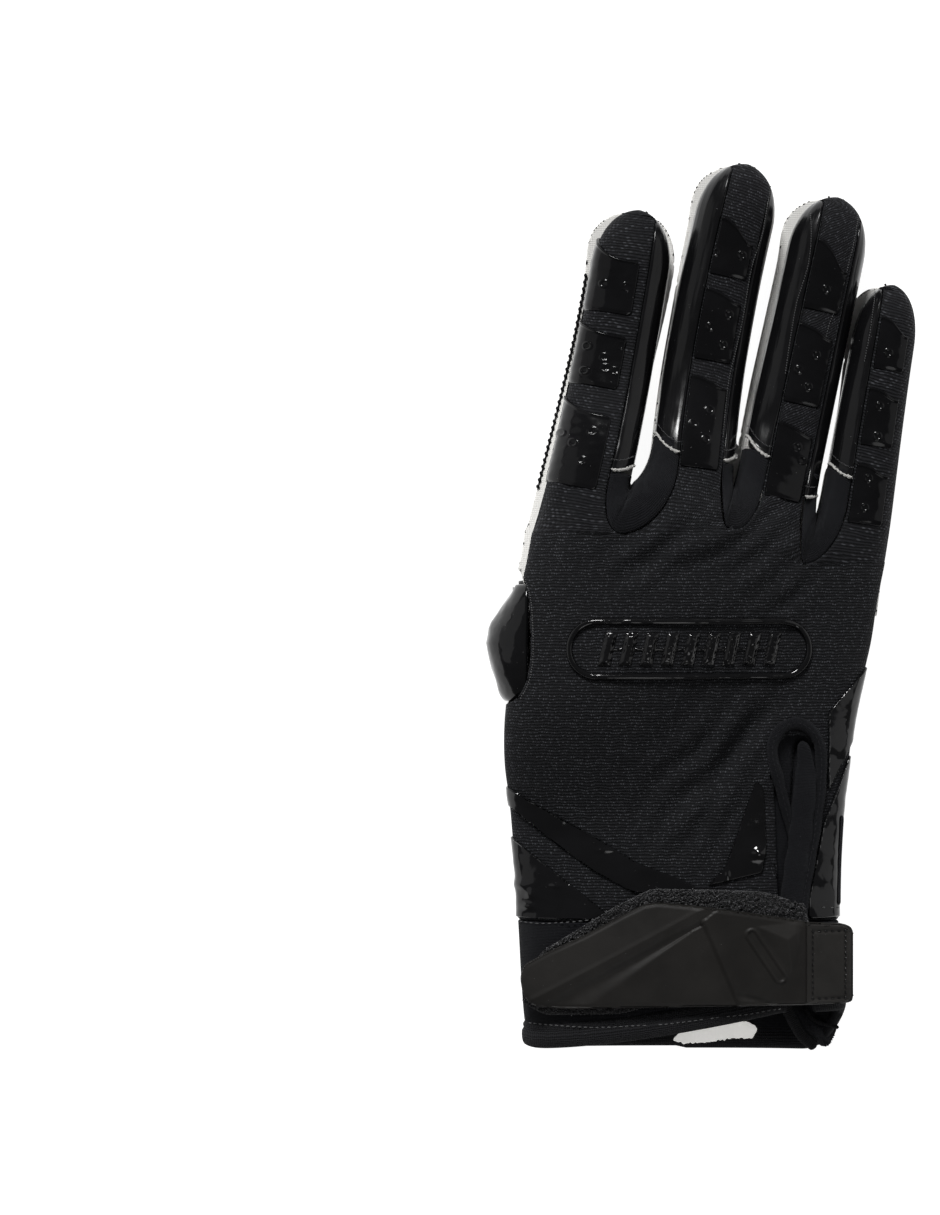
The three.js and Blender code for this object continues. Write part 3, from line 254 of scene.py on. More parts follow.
@dataclass
class GloveForm:
    """The surface of the glove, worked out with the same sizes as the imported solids."""

    finger_width: float = 22.0
    finger_space: float = 1.75
    finger_length: float = 98.6
    finger_height: float = 13.0
    tip_length: float = 16.0
    hand_length: float = 104.0
    hand_height: float = 16.5
    heel_length: float = 23.3
    cuff_length: float = 36.0
    gap: float = 0.3
    palm_wall: float = 1.0
    widest_share: float = 0.38
    hand_power: float = 2.6
    finger_power: float = 2.4
    foot_tuck: float = 0.7
    thumb_height: float = 9.0
    thumb_width: float = 22.0
    crotches: tuple = ((-0.154, 0.981, 0.64), (0.13, 0.995, 0.52), (0.363, 0.902, 0.56))
    knuckle_ends: tuple = (0.985, 0.912)
    rows: tuple = (
        (-1, -0.412, 0.452, 1.0), (-0.7, -0.43, 0.462, 1.0), (0, -0.446, 0.449, 1.0), (0.1, -0.449, 0.446, 1.01),
        (0.2, -0.46, 0.452, 1.02), (0.3, -0.47, 0.463, 1.04), (0.4, -0.484, 0.477, 1.06), (0.5, -0.485, 0.491, 1.06),
        (0.61, -0.474, 0.516, 1.05), (0.71, -0.466, 0.541, 1.03), (0.81, -0.449, 0.558, 1.0),
        (0.91, -0.424, 0.58, 0.97), (1.0, -0.405, 0.597, 0.95), (1.1, -0.38, 0.612, 0.93),
    )
    folds: tuple = (
        (0.17, 0.46, 42, 1.15, 0.2, -0.06), (0.235, 0.39, 48, 0.95, 0.2, 0.05), (0.09, 0.5, 48, 1.2, 0.26, 0.045),
        (0.0, 0.43, 62, 1.2, 0.26, -0.035), (0.03, 0.945, 38, 0.7, 0.22, 0.06), (0.245, 0.9, 38, 0.7, 0.22, 0.06),
        (0.07, 0.905, 4, 1.5, 0.2, -0.045),
    )

    @property
    def knuckle(self) -> float:
        """Width of the hand across its four fingers."""
        return 4 * (self.finger_width + self.finger_space)

    @property
    def wrist_y(self) -> float:
        """Place of the wrist seam."""
        return -self.heel_length

    @property
    def stack(self) -> float:
        """Height at which the walls stand on the palm."""
        return 2 * self.palm_wall + 4 * self.gap

    @property
    def thumb_clear(self) -> float:
        """How far the palm is lifted over the folded thumb."""
        return self.thumb_height + self.gap

    @property
    def morph(self) -> float:
        """Length over which the hand's back becomes a finger's back."""
        return self.finger_width * 0.7

    def reach(self, f: Finger) -> float:
        """Return a finger's length from its base to its tip."""
        return f.length * self.finger_length

    def cap_steps(self, f: Finger) -> Array:
        """Return distances up a finger over its rounded cap, closer together towards the tip."""
        return self.reach(f) - self.tip_length * (1 - np.sin(np.linspace(0, 1, 26) * math.pi / 2))

    def on_hand(self, x: float, y: float) -> Array:
        """Return the plan place at shares of the knuckle width and of the hand's length."""
        return np.array([x * self.knuckle, self.wrist_y + y * self.hand_length])

    def column(self, index: int, along: Array) -> Array:
        """Return a column of rows, read as a smooth Hermite curve.

        Args:
            index: Which column: 1 and 2 are the hand's sides, 3 its height.
            along: Places along the hand, as shares of its length from the wrist.
        """
        rows = np.array(self.rows, float)
        a, v = rows[:, 0], rows[:, index]
        i = np.clip(np.searchsorted(a, along, side="left"), 1, len(a) - 1)
        low, high = i - 1, i
        before, after = np.maximum(0, i - 2), np.minimum(len(a) - 1, i + 1)
        span = a[high] - a[low]
        t = np.clip((along - a[low]) / span, 0, 1)
        m0 = (v[high] - v[before]) / (a[high] - a[before]) * span
        m1 = (v[after] - v[low]) / (a[after] - a[low]) * span
        return ((2 * t**3 - 3 * t**2 + 1) * v[low] + (t**3 - 2 * t**2 + t) * m0
                + (3 * t**2 - 2 * t**3) * v[high] + (t**3 - t**2) * m1)

    def body(self, y: Array) -> tuple[Array, Array, Array]:
        """Return the hand's centre, half width and height at a place along it."""
        y = np.asarray(y, float)
        reach = np.where(y < self.wrist_y, self.cuff_length, self.hand_length)
        along = (y - self.wrist_y) / reach
        left, right = self.column(1, along) * self.knuckle, self.column(2, along) * self.knuckle
        return (left + right) / 2, (right - left) / 2, self.column(3, along) * self.hand_height

    def section(self, q: Array, power: float, half: Array | float) -> tuple[Array, Array]:
        """Return a section's outline: a super-ellipse above its widest line, a leaning wall below.

        Args:
            q: -2 to 2; 0 is the crown, 1 the widest line and 2 the foot.
            power: How square the arch is.
            half: Half width, which the foot's lean is measured against.

        Returns:
            The share across and the share up, 1 at the crown, 0 at the widest line, -1 at the foot.
        """
        q = np.asarray(q, float)
        low = np.clip(np.abs(q) - 1, 0, None)
        turn = np.clip(np.abs(q), 0, 1) * math.pi / 2
        half = np.maximum(half, 0.01)
        lean = np.minimum(self.foot_tuck, half / 2) / half
        across = np.sign(q) * np.where(low > 0, 1 - lean * low * low, np.sin(turn) ** (2 / power))
        up = np.where(low > 0, -low, np.clip(np.cos(turn), 0, 1) ** (2 / power))
        return across, up

    def section_z(self, up: Array, height: Array | float) -> Array:
        """Return the height of a share up of a section."""
        share = self.widest_share
        return self.stack + height * (share + up * np.where(np.asarray(up) > 0, 1 - share, share))

    def seam_q(self, share: Array | float, power: float) -> Array:
        """Return the section place that lies a share of the half width across."""
        share = np.asarray(share, float)
        return np.sign(share) * np.arcsin(np.minimum(1, np.abs(share) ** (power / 2))) / (math.pi / 2)

    def back_z(self, x: Array, y: Array) -> Array:
        """Return the height of the hand's back before it is draped."""
        cx, half, height = self.body(y)
        share = np.minimum(0.999, np.abs(x - cx) / half)
        return self.section_z((1 - share**self.hand_power) ** (1 / self.hand_power), height)

    def crotch(self, k: int) -> Array:
        """Return the lowest point of a crotch gusset's outer edge."""
        return self.on_hand(*self.crotches[k][:2])

    def knuckle_y(self, x: Array) -> Array:
        """Return where the hand's back becomes the fingers' backs."""
        cx, half, _ = self.body(self.wrist_y + self.hand_length)
        xs = [cx - half, *(self.crotch(k)[0] for k in range(3)), cx + half]
        ends = [self.wrist_y + share * self.hand_length for share in self.knuckle_ends]
        return np.interp(x, xs, [ends[0], *(self.crotch(k)[1] for k in range(3)), ends[1]])

    def crotch_q(self, k: int) -> float:
        """Return the section place of a crotch on the knuckle line."""
        cx, half, _ = self.body(self.wrist_y + self.hand_length)
        return float(self.seam_q((self.crotch(k)[0] - cx) / half, self.hand_power))

    def finger_ends(self, i: int) -> tuple[float, float]:
        """Return the knuckle line's section places at both edges of a finger."""
        return (-2.0 if i == 0 else self.crotch_q(i - 1), 2.0 if i == 3 else self.crotch_q(i))

    def hand_point(self, q: Array, v: Array) -> Array:
        """Return points of the hand's back.

        Args:
            q: Section places, as section takes them.
            v: Shares of the way from the wrist to the knuckles.
        """
        cx, half, _ = self.body(self.wrist_y + self.hand_length)
        across, up = self.section(q, self.hand_power, self.knuckle / 2)
        y = lerp(self.wrist_y + self.gap / 2, self.knuckle_y(cx + across * half), v)
        x, wide, height = self.body(y)
        return points3(x + across * wide, y, self.section_z(up, height))

    def finger_at(self, f: Finger, s: Array) -> tuple[Array, Array, Array, Array, Array]:
        """Return a finger's centre line at a distance up it.

        The centre runs straight with a parabolic bow; the half width ends in a rounded cap.

        Args:
            f: The finger.
            s: Distances up it from its base.

        Returns:
            Centre points, unit directions, nominal half width, real half width and height.
        """
        s = np.asarray(s, float)
        length = self.reach(f)
        lean, t = math.radians(f.lean), s / length
        bow = f.bow * length * 4 * t * (1 - t)
        ux, uy = math.sin(lean), math.cos(lean)
        tilt = f.bow * 4 * (1 - 2 * t)
        direction = np.stack([ux + uy * tilt, uy - ux * tilt], -1)
        direction = direction / np.linalg.norm(direction, axis=-1, keepdims=True)
        past = np.clip((s - (length - self.tip_length)) / self.tip_length, 0, 1)
        cap = np.sqrt(np.clip(1 - past**2.2, 0, 1))
        nominal = lerp(f.width, f.tip, smooth(0, length, s)) * self.finger_width / 2
        centre = np.stack([f.x * self.knuckle + ux * s + uy * bow,
                           self.wrist_y + f.y * self.hand_length + uy * s - ux * bow], -1)
        return centre, direction, nominal, nominal * cap, self.finger_height * (0.45 + 0.55 * cap)

    def finger_point(self, f: Finger, s: Array, q: Array) -> Array:
        """Return points of a finger's section.

        Args:
            f: The finger.
            s: Distances up it from its base.
            q: Section places, as section takes them.
        """
        centre, direction, _, half, height = self.finger_at(f, s)
        across, up = self.section(q, self.finger_power, half)
        return points3(centre[..., 0] + direction[..., 1] * across * half,
                       centre[..., 1] - direction[..., 0] * across * half, self.section_z(up, height))

    def finger_seam(self, f: Finger, side: int, s: Array) -> Array:
        """Return the section place of a finger's seam; at the tip it drops to the section's foot.

        Args:
            f: The finger.
            side: -1 for the seam on the thumb's side, 1 for the other.
            s: Distances up the finger.
        """
        share = f.left if side < 0 else f.right
        if abs(share) == 1:
            return np.full(np.shape(s), 2.0 * side)
        _, _, nominal, half, _ = self.finger_at(f, s)
        length = self.reach(f)
        ratio = np.clip(share * nominal / np.maximum(half, 1e-6), -1, 1)
        drop = smooth(length - self.tip_length * 0.14, length - self.tip_length * 0.015, s)
        return lerp(self.seam_q(ratio, self.finger_power), 2.0 * side, drop)

    def strip_point(self, i: int, across: Array, s: Array) -> Array:
        """Return points of a finger's knit back, blended into the hand's back at its base.

        The blend is a quarter circle sideways and an eased step upwards, over the length morph.

        Args:
            i: Which finger.
            across: Shares of the way from its left seam to its right one.
            s: Distances up the finger.
        """
        f = FINGERS[i]
        across, s = np.broadcast_arrays(np.asarray(across, float), np.asarray(s, float))
        q = lerp(self.finger_seam(f, -1, s), self.finger_seam(f, 1, s), across)
        finger = self.finger_point(f, s, q)
        low, high = self.finger_ends(i)
        hand = self.hand_point(lerp(low, high, across), np.ones_like(across))
        _, direction, _, _, _ = self.finger_at(f, s)
        hand[..., 0] += direction[..., 0] * s
        hand[..., 1] += direction[..., 1] * s
        t = np.clip(s / self.morph, 0, 1)
        sideways, upward = np.sqrt(1 - (1 - t) ** 2), smooth(0, 1, t)
        out = np.empty_like(hand)
        out[..., 0] = lerp(hand[..., 0], finger[..., 0], sideways)
        out[..., 1] = lerp(hand[..., 1], finger[..., 1], sideways)
        out[..., 2] = lerp(hand[..., 2], finger[..., 2], upward)
        return out

    def slot_side(self, k: int, side: int, w: Array) -> tuple[Array, Array, float]:
        """Return one side of the slot between two fingers: a quadratic curve down to its bottom.

        Args:
            k: Which slot.
            side: 0 for the finger before the slot, 1 for the one after it.
            w: Shares along the curve, as a column.

        Returns:
            The curve on the plan, the point of the finger where it starts, and how far up that is.
        """
        a, b = FINGERS[k], FINGERS[k + 1]
        f, rise, q = ((a, a.right_rise, 1.0), (b, b.left_rise, -1.0))[side]
        rise = rise * self.finger_width
        lean, deep = math.radians((a.lean + b.lean) / 2), self.crotches[k][2] * self.finger_width
        bottom = self.crotch(k) + deep * np.array([math.sin(lean), math.cos(lean)])
        start = self.finger_point(f, np.array(rise), np.array(q))
        corner = self.finger_point(f, np.array(max(deep * 0.85, rise * 0.6)), np.array(q))
        curve = (1 - w) ** 2 * start[:2] + 2 * w * (1 - w) * corner[:2] + w * w * bottom
        return curve, start, rise

    def thumb_line(self, t: Array) -> Array:
        """Return the folded thumb's plan line: a quadratic curve from its fold to its tip."""
        fold = self.on_hand(-0.421, 0.706)
        bend = fold + (0.2 * self.knuckle, 0.02 * self.hand_length)
        tip = fold + (0.31 * self.knuckle, 0.27 * self.hand_length)
        t = np.asarray(t, float)[..., None]
        return (1 - t) ** 2 * fold + 2 * t * (1 - t) * bend + t * t * tip

    def lift(self, x: Array, y: Array) -> Array:
        """Return how far the palm is lifted over the thumb, from the distance to the thumb's line."""
        plan = np.stack(np.broadcast_arrays(x, y), -1).astype(float)
        near = path_distance(plan, self.thumb_line(np.linspace(0, 1, 11)))
        return self.thumb_clear * (1 - smooth(self.thumb_width * 0.6, self.thumb_width * 2.4, near))

    def fold_height(self, x: Array, y: Array) -> Array:
        """Return the folds' height: each is a bell along and across its own line."""
        total = np.zeros(np.broadcast(x, y).shape)
        for fx, fy, turn, half, spread, height in self.folds:
            centre = self.on_hand(fx, fy)
            c, s = math.cos(math.radians(turn)), math.sin(math.radians(turn))
            dx, dy = x - centre[0], y - centre[1]
            along = (dx * c + dy * s) / (half * self.hand_height)
            over = (dy * c - dx * s) / (spread * self.hand_height)
            total = total + height * self.hand_height * np.exp(-along**2 - over**2)
        return total

    def drape(self, p: Array) -> Array:
        """Lift points over the thumb and add the folds to the upper part of the glove."""
        upper = smooth(self.stack + self.hand_height * 0.25, self.stack + self.hand_height * 0.5, p[..., 2])
        out = p.copy()
        out[..., 2] += self.lift(p[..., 0], p[..., 1]) + upper * self.fold_height(p[..., 0], p[..., 1])
        return out


def grid_normals(p: Array) -> Array:
    """Return a grid's unit normals: the cross of its differences along a row and between rows."""
    return unit(np.cross(np.gradient(p, axis=1), np.gradient(p, axis=0)))


def grid_faces(rows: int, columns: int, wrap: bool = False) -> Array:
    """Return the quads of a grid of points, numbered row by row.

    Args:
        rows: How many rows of points.
        columns: How many points in a row.
        wrap: Whether the last column joins the first.
    """
    ids = np.arange(rows * columns).reshape(rows, columns)
    if wrap:
        ids = np.concatenate([ids, ids[:, :1]], axis=1)
    return np.stack([ids[:-1, :-1], ids[:-1, 1:], ids[1:, 1:], ids[1:, :-1]], -1).reshape(-1, 4)


@dataclass
class Patch:
    """A surface: its points and normals, faces as lists of corners, and a plan map in millimetres."""

    points: Array
    normals: Array
    faces: list
    uv: Array

    @staticmethod
    def of_grid(p: Array, uv: Array | None = None, wrap: bool = False) -> "Patch":
        """Return the patch of a grid of points.

        Args:
            p: Rows by columns by 3.
            uv: Rows by columns by 2, or the points' plan places if left out.
            wrap: Whether the columns close into a ring.
        """
        rows, columns = p.shape[:2]
        if wrap:
            normals = grid_normals(np.concatenate([p[:, -1:], p, p[:, :1]], axis=1))[:, 1:-1]
        else:
            normals = grid_normals(p)
        uv = p[..., :2] if uv is None else uv
        faces = grid_faces(rows, columns, wrap).tolist()
        return Patch(p.reshape(-1, 3), normals.reshape(-1, 3), faces, uv.reshape(-1, 2))

    @staticmethod
    def trimmed(p: Array, distance: Array, uv: Array | None = None) -> "Patch":
        """Return the part of a grid where the distance is below zero, its edge moved onto zero.

        Points within half a cell of the edge step along the distance's slope in grid space until they
        lie on it, and cells with three corners inside become triangles.

        Args:
            p: Rows by columns by 3.
            distance: Rows by columns, signed.
            uv: Rows by columns by 2, or the points' plan places if left out.
        """
        rows, columns = distance.shape
        uv = p[..., :2] if uv is None else uv
        data = np.concatenate([p, grid_normals(p), uv], axis=-1)
        gi, gj = np.gradient(distance)
        size = gi * gi + gj * gj
        share = np.divide(-distance, size, out=np.full_like(distance, 9.0), where=size > 1e-9)
        di, dj = share * gi, share * gj
        near = (np.maximum(np.abs(di), np.abs(dj)) < 0.55) & (size > 1e-9)
        i, j = np.meshgrid(np.arange(rows, dtype=float), np.arange(columns, dtype=float), indexing="ij")
        i = np.clip(i + np.where(near, di, 0), 0, rows - 1)
        j = np.clip(j + np.where(near, dj, 0), 0, columns - 1)
        a, b = np.minimum(i.astype(int), rows - 2), np.minimum(j.astype(int), columns - 2)
        fa, fb = (i - a)[..., None], (j - b)[..., None]
        moved = ((data[a, b] * (1 - fa) + data[a + 1, b] * fa) * (1 - fb)
                 + (data[a, b + 1] * (1 - fa) + data[a + 1, b + 1] * fa) * fb)
        inside = (near | (distance < 0)).reshape(-1)
        quads = grid_faces(rows, columns)
        count = inside[quads].sum(axis=1)
        faces = quads[count == 4].tolist()
        faces += [[c for c in quad if inside[c]] for quad in quads[count == 3].tolist()]
        flat = moved.reshape(-1, data.shape[-1])
        return Patch(flat[:, :3], unit(flat[:, 3:6]), faces, flat[:, 6:8]).compact()

    def compact(self) -> "Patch":
        """Return the patch without points that no face uses."""
        used = np.unique(np.concatenate([np.asarray(f) for f in self.faces])) if self.faces else np.array([], int)
        place = np.full(len(self.points), -1)
        place[used] = np.arange(len(used))
        faces = [[int(place[c]) for c in f] for f in self.faces]
        return Patch(self.points[used], self.normals[used], faces, self.uv[used])

    def moved(self, high: Array) -> "Patch":
        """Return the patch moved outwards along its normals."""
        return Patch(self.points + self.normals * high[:, None], self.normals, self.faces, self.uv)

    @staticmethod
    def welded(*every: "Patch") -> "Patch":
        """Return patches as one, with points closer than 1 micrometre welded."""
        points = np.concatenate([p.points for p in every])
        normals = np.concatenate([p.normals for p in every])
        uv = np.concatenate([p.uv for p in every])
        starts = np.cumsum([0] + [len(p.points) for p in every[:-1]])
        faces = [[c + start for c in f] for p, start in zip(every, starts) for f in p.faces]
        _, first, place = np.unique(np.round(points, 3), axis=0, return_index=True, return_inverse=True)
        place = place.reshape(-1)
        summed = np.zeros((len(first), 3))
        np.add.at(summed, place, normals)
        welded = [list(dict.fromkeys(int(place[c]) for c in f)) for f in faces]
        return Patch(points[first], unit(summed), [f for f in welded if len(f) > 2], uv[first])

    def edge_in(self) -> tuple[Array, Array]:
        """Return the directed border edges and, for each point, its unit direction into the patch."""
        pairs = np.array([(f[k], f[(k + 1) % len(f)]) for f in self.faces for k in range(len(f))])
        n = len(self.points)
        border = pairs[~np.isin(pairs[:, 0] * n + pairs[:, 1], pairs[:, 1] * n + pairs[:, 0])]
        inward = np.zeros_like(self.points)
        run = self.points[border[:, 1]] - self.points[border[:, 0]]
        side = np.cross(self.normals[border[:, 0]], run)
        np.add.at(inward, border[:, 0], side)
        np.add.at(inward, border[:, 1], side)
        size = np.linalg.norm(inward, axis=1, keepdims=True)
        return border, inward / np.maximum(size, 1e-9)

    def solid(self, low: Array | float, high: Array | float, round_off: float = 0.3) -> "Patch":
        """Return a closed wall between two offsets along the normals.

        The upper edge is rounded: the top's border is drawn in by round_off and joined to a ring that
        lies round_off lower on the outline, and that to the bottom's border.

        Args:
            low: Offset of the bottom, for all points or one by one.
            high: Offset of the top, likewise.
            round_off: Size of the rounded edge.
        """
        n = len(self.points)
        border, inward = self.edge_in()
        low_a, high_a = np.broadcast_to(low, n)[:, None], np.broadcast_to(high, n)[:, None]
        rim = np.unique(border)
        slot = np.full(n, -1)
        slot[rim] = np.arange(len(rim)) + 2 * n
        top = self.points + self.normals * high_a
        ring = (self.points + self.normals * np.maximum(high_a - round_off, (low_a + high_a) / 2))[rim]
        top[rim] += inward[rim] * round_off
        bottom = self.points + self.normals * low_a
        faces = [list(f) for f in self.faces] + [[c + n for c in reversed(f)] for f in self.faces]
        a, b = border[:, 0], border[:, 1]
        faces += np.stack([b, a, slot[a], slot[b]], 1).tolist()
        faces += np.stack([slot[b], slot[a], a + n, b + n], 1).tolist()
        points = np.concatenate([top, bottom, ring])
        return Patch(points, np.concatenate([self.normals, -self.normals, self.normals[rim]]), faces,
                     np.concatenate([self.uv, self.uv, self.uv[rim]]))


def tube_patch(path: Array, ring: Callable[[Array], Array], sides: int) -> Patch:
    """Return a closed tube along a path.

    Args:
        path: Points of the path.
        ring: Gives the rings of all path points from a row of turns in radians.
        sides: Points in a ring.
    """
    turn = np.linspace(0, 2 * math.pi, sides, endpoint=False)[None, :]
    uv = np.stack(np.broadcast_arrays(turn / (2 * math.pi) * GIRTH_MAP, path_run(path)[:, None]), -1)
    patch = Patch.of_grid(ring(turn), uv, wrap=True)
    last = (len(path) - 1) * sides
    patch.faces += [list(range(sides))[::-1], [last + k for k in range(sides)]]
    return patch


def along_path(path: Array, pitch: float) -> tuple[Array, Array]:
    """Return evenly spaced points on a path and its unit direction at each.

    Args:
        path: The path's points.
        pitch: About how far apart the new points are.

    Returns:
        The points, at least three, and their directions.
    """
    length = path_run(path)[-1]
    points = read_along(path, np.linspace(0, length, max(3, int(length / pitch))))
    return points, unit(np.gradient(points, axis=0))


def rope(path: Array, wide: Array | float, tall: Array | float, sides: int = 10, blunt: float = 1.0) -> Patch:
    """Return a closed oval tube along a path, its width lying level and its ends rounded off.

    Args:
        path: Points of its centre line.
        wide: Half width at each point.
        tall: Half height at each point.
        sides: Points round it.
        blunt: Length over which an end is rounded.
    """
    ahead = unit(np.gradient(path, axis=0))
    side = unit(np.cross(ahead, (0.0, 0.0, 1.0)))
    up = np.cross(side, ahead)
    run = path_run(path)
    inward = np.clip(np.minimum(run, run[-1] - run) / blunt, 0, 1)
    end = np.sqrt(np.clip(1 - (1 - inward) ** 2, 0.03, 1))
    half, high = np.broadcast_to(wide, len(path)) * end, np.broadcast_to(tall, len(path)) * end

    def ring(turn: Array) -> Array:
        """An oval across the path."""
        return (path[:, None] + side[:, None] * (half[:, None] * np.cos(turn))[..., None]
                + up[:, None] * (high[:, None] * np.sin(turn))[..., None])

    return tube_patch(path, ring, sides)


def bead() -> Patch:
    """Return a small rounded rod, one long, wide and tall, along X."""
    x = np.linspace(-0.5, 0.5, 5)
    return rope(np.stack([x, 0 * x, 0 * x], 1), 0.5, 0.5, 7, 0.35)


def curl() -> Patch:
    """Return a small standing loop of thread: a bent rod that leaves the cloth and goes back into it."""
    turn = np.linspace(-0.3, math.pi + 0.3, 9)
    return rope(np.stack([0.5 * np.cos(turn), 0.12 * np.sin(2 * turn), 0.8 * np.sin(turn)], 1), 0.16, 0.16, 5, 0.1)


def repeated(shape: Patch, centres: Array, ahead: Array, size: Sequence[float] | Array) -> Patch:
    """Return one patch with a copy of a small shape at each centre.

    Args:
        shape: What is copied.
        centres: Where the copies go.
        ahead: The direction that each copy's X takes; its Z points as near up as it can.
        size: Length, width and height of the copies, together or one by one.
    """
    forward = unit(np.broadcast_to(ahead, centres.shape).astype(float))
    side = unit(np.cross((0.0, 0.0, 1.0), forward))
    frame = np.stack([forward, side, np.cross(forward, side)], 1)
    scaled = shape.points[None] * np.broadcast_to(size, centres.shape)[:, None]
    points = centres[:, None] + np.einsum("nmk,nkc->nmc", scaled, frame)
    normals = np.einsum("mk,nkc->nmc", shape.normals, frame)
    starts = np.arange(len(centres)) * len(shape.points)
    faces = [[c + start for c in face] for start in starts.tolist() for face in shape.faces]
    uv = points[..., :2]
    return Patch(points.reshape(-1, 3), normals.reshape(-1, 3), faces, uv.reshape(-1, 2))


class Ground:
    """How high the glove's surface lies over each spot of the plan, for laying trims on it."""

    def __init__(self, cell: float = 0.3) -> None:
        """Start with an empty map of square cells."""
        self.cell = cell
        self.low = np.array([-62.0, -66.0])
        self.z = np.full((450, 850), -1.0)

    def cover(self, *patches: Patch) -> None:
        """Raise the map to each patch: its faces are sampled closely, and the cells between them are filled."""
        u, v = (g.reshape(-1, 1) for g in np.meshgrid(np.linspace(0, 1, 5), np.linspace(0, 1, 5)))
        weights = np.stack([(1 - u) * (1 - v), u * (1 - v), u * v, (1 - u) * v], 1)
        for patch in patches:
            corners = patch.points[np.array([(*f, f[-1])[:4] for f in patch.faces])]
            points = np.einsum("skl,nkc->nsc", weights, corners).reshape(-1, 3)
            i, j = ((points[:, :2] - self.low) / self.cell).astype(int).T
            layer = np.full_like(self.z, -1.0)
            np.maximum.at(layer, (i, j), points[:, 2])
            for _ in range(3):
                near = [np.roll(layer, (a, b), (0, 1)) for a in (-1, 0, 1) for b in (-1, 0, 1) if a or b]
                known = np.sum([n >= 0 for n in near], axis=0)
                total = np.sum([np.maximum(n, 0) for n in near], axis=0)
                layer = np.where((layer < 0) & (known >= 3), total / np.maximum(known, 1), layer)
            self.z = np.maximum(self.z, layer)

    def height(self, xy: Array) -> Array:
        """Return the surface's height at plan places, read between the four nearest cells."""
        at = np.clip((xy - self.low) / self.cell - 0.5, 0, np.array(self.z.shape) - 2)
        i, j = at[..., 0].astype(int), at[..., 1].astype(int)
        fi, fj = at[..., 0] - i, at[..., 1] - j
        return ((self.z[i, j] * (1 - fi) + self.z[i + 1, j] * fi) * (1 - fj)
                + (self.z[i, j + 1] * (1 - fi) + self.z[i + 1, j + 1] * fi) * fj)

    def lay(self, path: Array, lift: float = 0.0, soft: int = 3) -> Array:
        """Return a plan path laid on the surface.

        Args:
            path: The path on the plan.
            lift: How high it lies over the surface.
            soft: How many neighbours on each side its height is averaged over.
        """
        z = np.pad(self.height(path), soft, mode="edge")
        z = np.convolve(z, np.ones(2 * soft + 1) / (2 * soft + 1), mode="valid")
        return points3(path[:, 0], path[:, 1], np.maximum(z + lift, 0.4))


def stitch_row(line: Array, pitch: float, length: float, thick: float, slant: float = 0.0) -> Patch:
    """Return a row of stitches along a line of points.

    Args:
        line: Points that the row follows.
        pitch: From one stitch to the next.
        length: Length of a stitch.
        thick: Width of the thread.
        slant: How far each stitch turns from the line, in radians.
    """
    centres, ahead = along_path(line, pitch)
    c, n = math.cos(slant), math.sin(slant)
    turned = np.stack([ahead[:, 0] * c - ahead[:, 1] * n, ahead[:, 0] * n + ahead[:, 1] * c, ahead[:, 2]], 1)
    return repeated(bead(), centres, turned, (length, thick, thick * 0.8))


def build_piece(name: str, patch: Patch, material: Material, nodes: Sequence[str] = ()) -> None:
    """Write a patch into a mesh object, smooth it, and hang it on the glove.

    Args:
        name: The piece's name.
        patch: Closed surface in millimetres.
        material: What it is dressed in.
        nodes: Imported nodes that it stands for.
    """
    mesh = bpy.data.meshes.new(name)
    mesh.from_pydata((patch.points * MM).tolist(), [], patch.faces)
    mesh.polygons.foreach_set("use_smooth", np.ones(len(mesh.polygons), bool))
    corners = np.empty(len(mesh.loops), np.int32)
    mesh.loops.foreach_get("vertex_index", corners)
    layer = mesh.uv_layers.new(name="plan")
    layer.data.foreach_set("uv", patch.uv[corners].astype(np.float32).ravel())
    mesh.materials.append(material)
    mesh.validate()
    mesh.update()
    piece = bpy.data.objects.new(name, mesh)
    bpy.context.scene.collection.objects.link(piece)
    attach(piece, "root")
    if nodes:
        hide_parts(*nodes)
    LOG.info("%s: %d faces", name, len(mesh.polygons))


class Cloth(Enum):
    """The ways that a cloth in this glove is made."""

    RIB_KNIT = "rib_knit"
    JERSEY = "jersey"
    LINING = "lining"
    FELT = "felt"
    WEBBING = "webbing"
    FUZZ = "fuzz"


@dataclass(frozen=True)
class ClothFinish:
    """A cloth's colour, thread size in millimetres, relief and sheen; glow is painted light: an emission that makes
    white cloth look lit where it lies in shade.
    """

    name: str
    kind: Cloth
    color: tuple[float, float, float]
    # Colour of the painted highlight: light specks on the crests of the threads.
    crest_glint: tuple[float, float, float]
    thread: float
    relief: float
    roughness: float
    sheen: float
    glow: float = 0.0


@dataclass(frozen=True)
class GripFinish:
    """A moulded or printed rubber's colour, gloss, waviness and dust; stretch is how long its waves run."""

    name: str
    color: tuple[float, float, float]
    roughness: float
    wave: float
    grain: float
    dust: float
    shine: float
    stretch: float


KNIT = ClothFinish("rib knit", Cloth.RIB_KNIT, (0.0072, 0.0074, 0.0086), (0.05, 0.052, 0.058), 0.8, 0.2, 0.88, 0.05)
JERSEY = ClothFinish("soft jersey", Cloth.JERSEY, (0.0058, 0.006, 0.0074), (0.02, 0.0215, 0.025), 0.4, 0.12, 0.93, 0.1)
LINING = ClothFinish("raw lining", Cloth.FELT, (0.84, 0.83, 0.8), (0.9, 0.89, 0.87), 0.5, 0.04, 0.9, 0.05)
WEBBING = ClothFinish("bound hem", Cloth.WEBBING, (0.0084, 0.0085, 0.0095), (0.025, 0.026, 0.029), 0.55, 0.2, 0.9, 0.08)
FUZZ = ClothFinish("loop pile", Cloth.FUZZ, (0.011, 0.011, 0.0115), (0.1, 0.1, 0.104), 0.34, 0.5, 0.97, 0.3)
THREAD = ClothFinish("sewing thread", Cloth.LINING, (0.011, 0.011, 0.013), (0.05, 0.05, 0.055), 0.2, 0.05, 0.8, 0.1)
SEAM = ClothFinish("pale seam thread", Cloth.LINING, (0.075, 0.075, 0.077), (0.22, 0.22, 0.225), 0.2, 0.05, 0.75, 0.1)
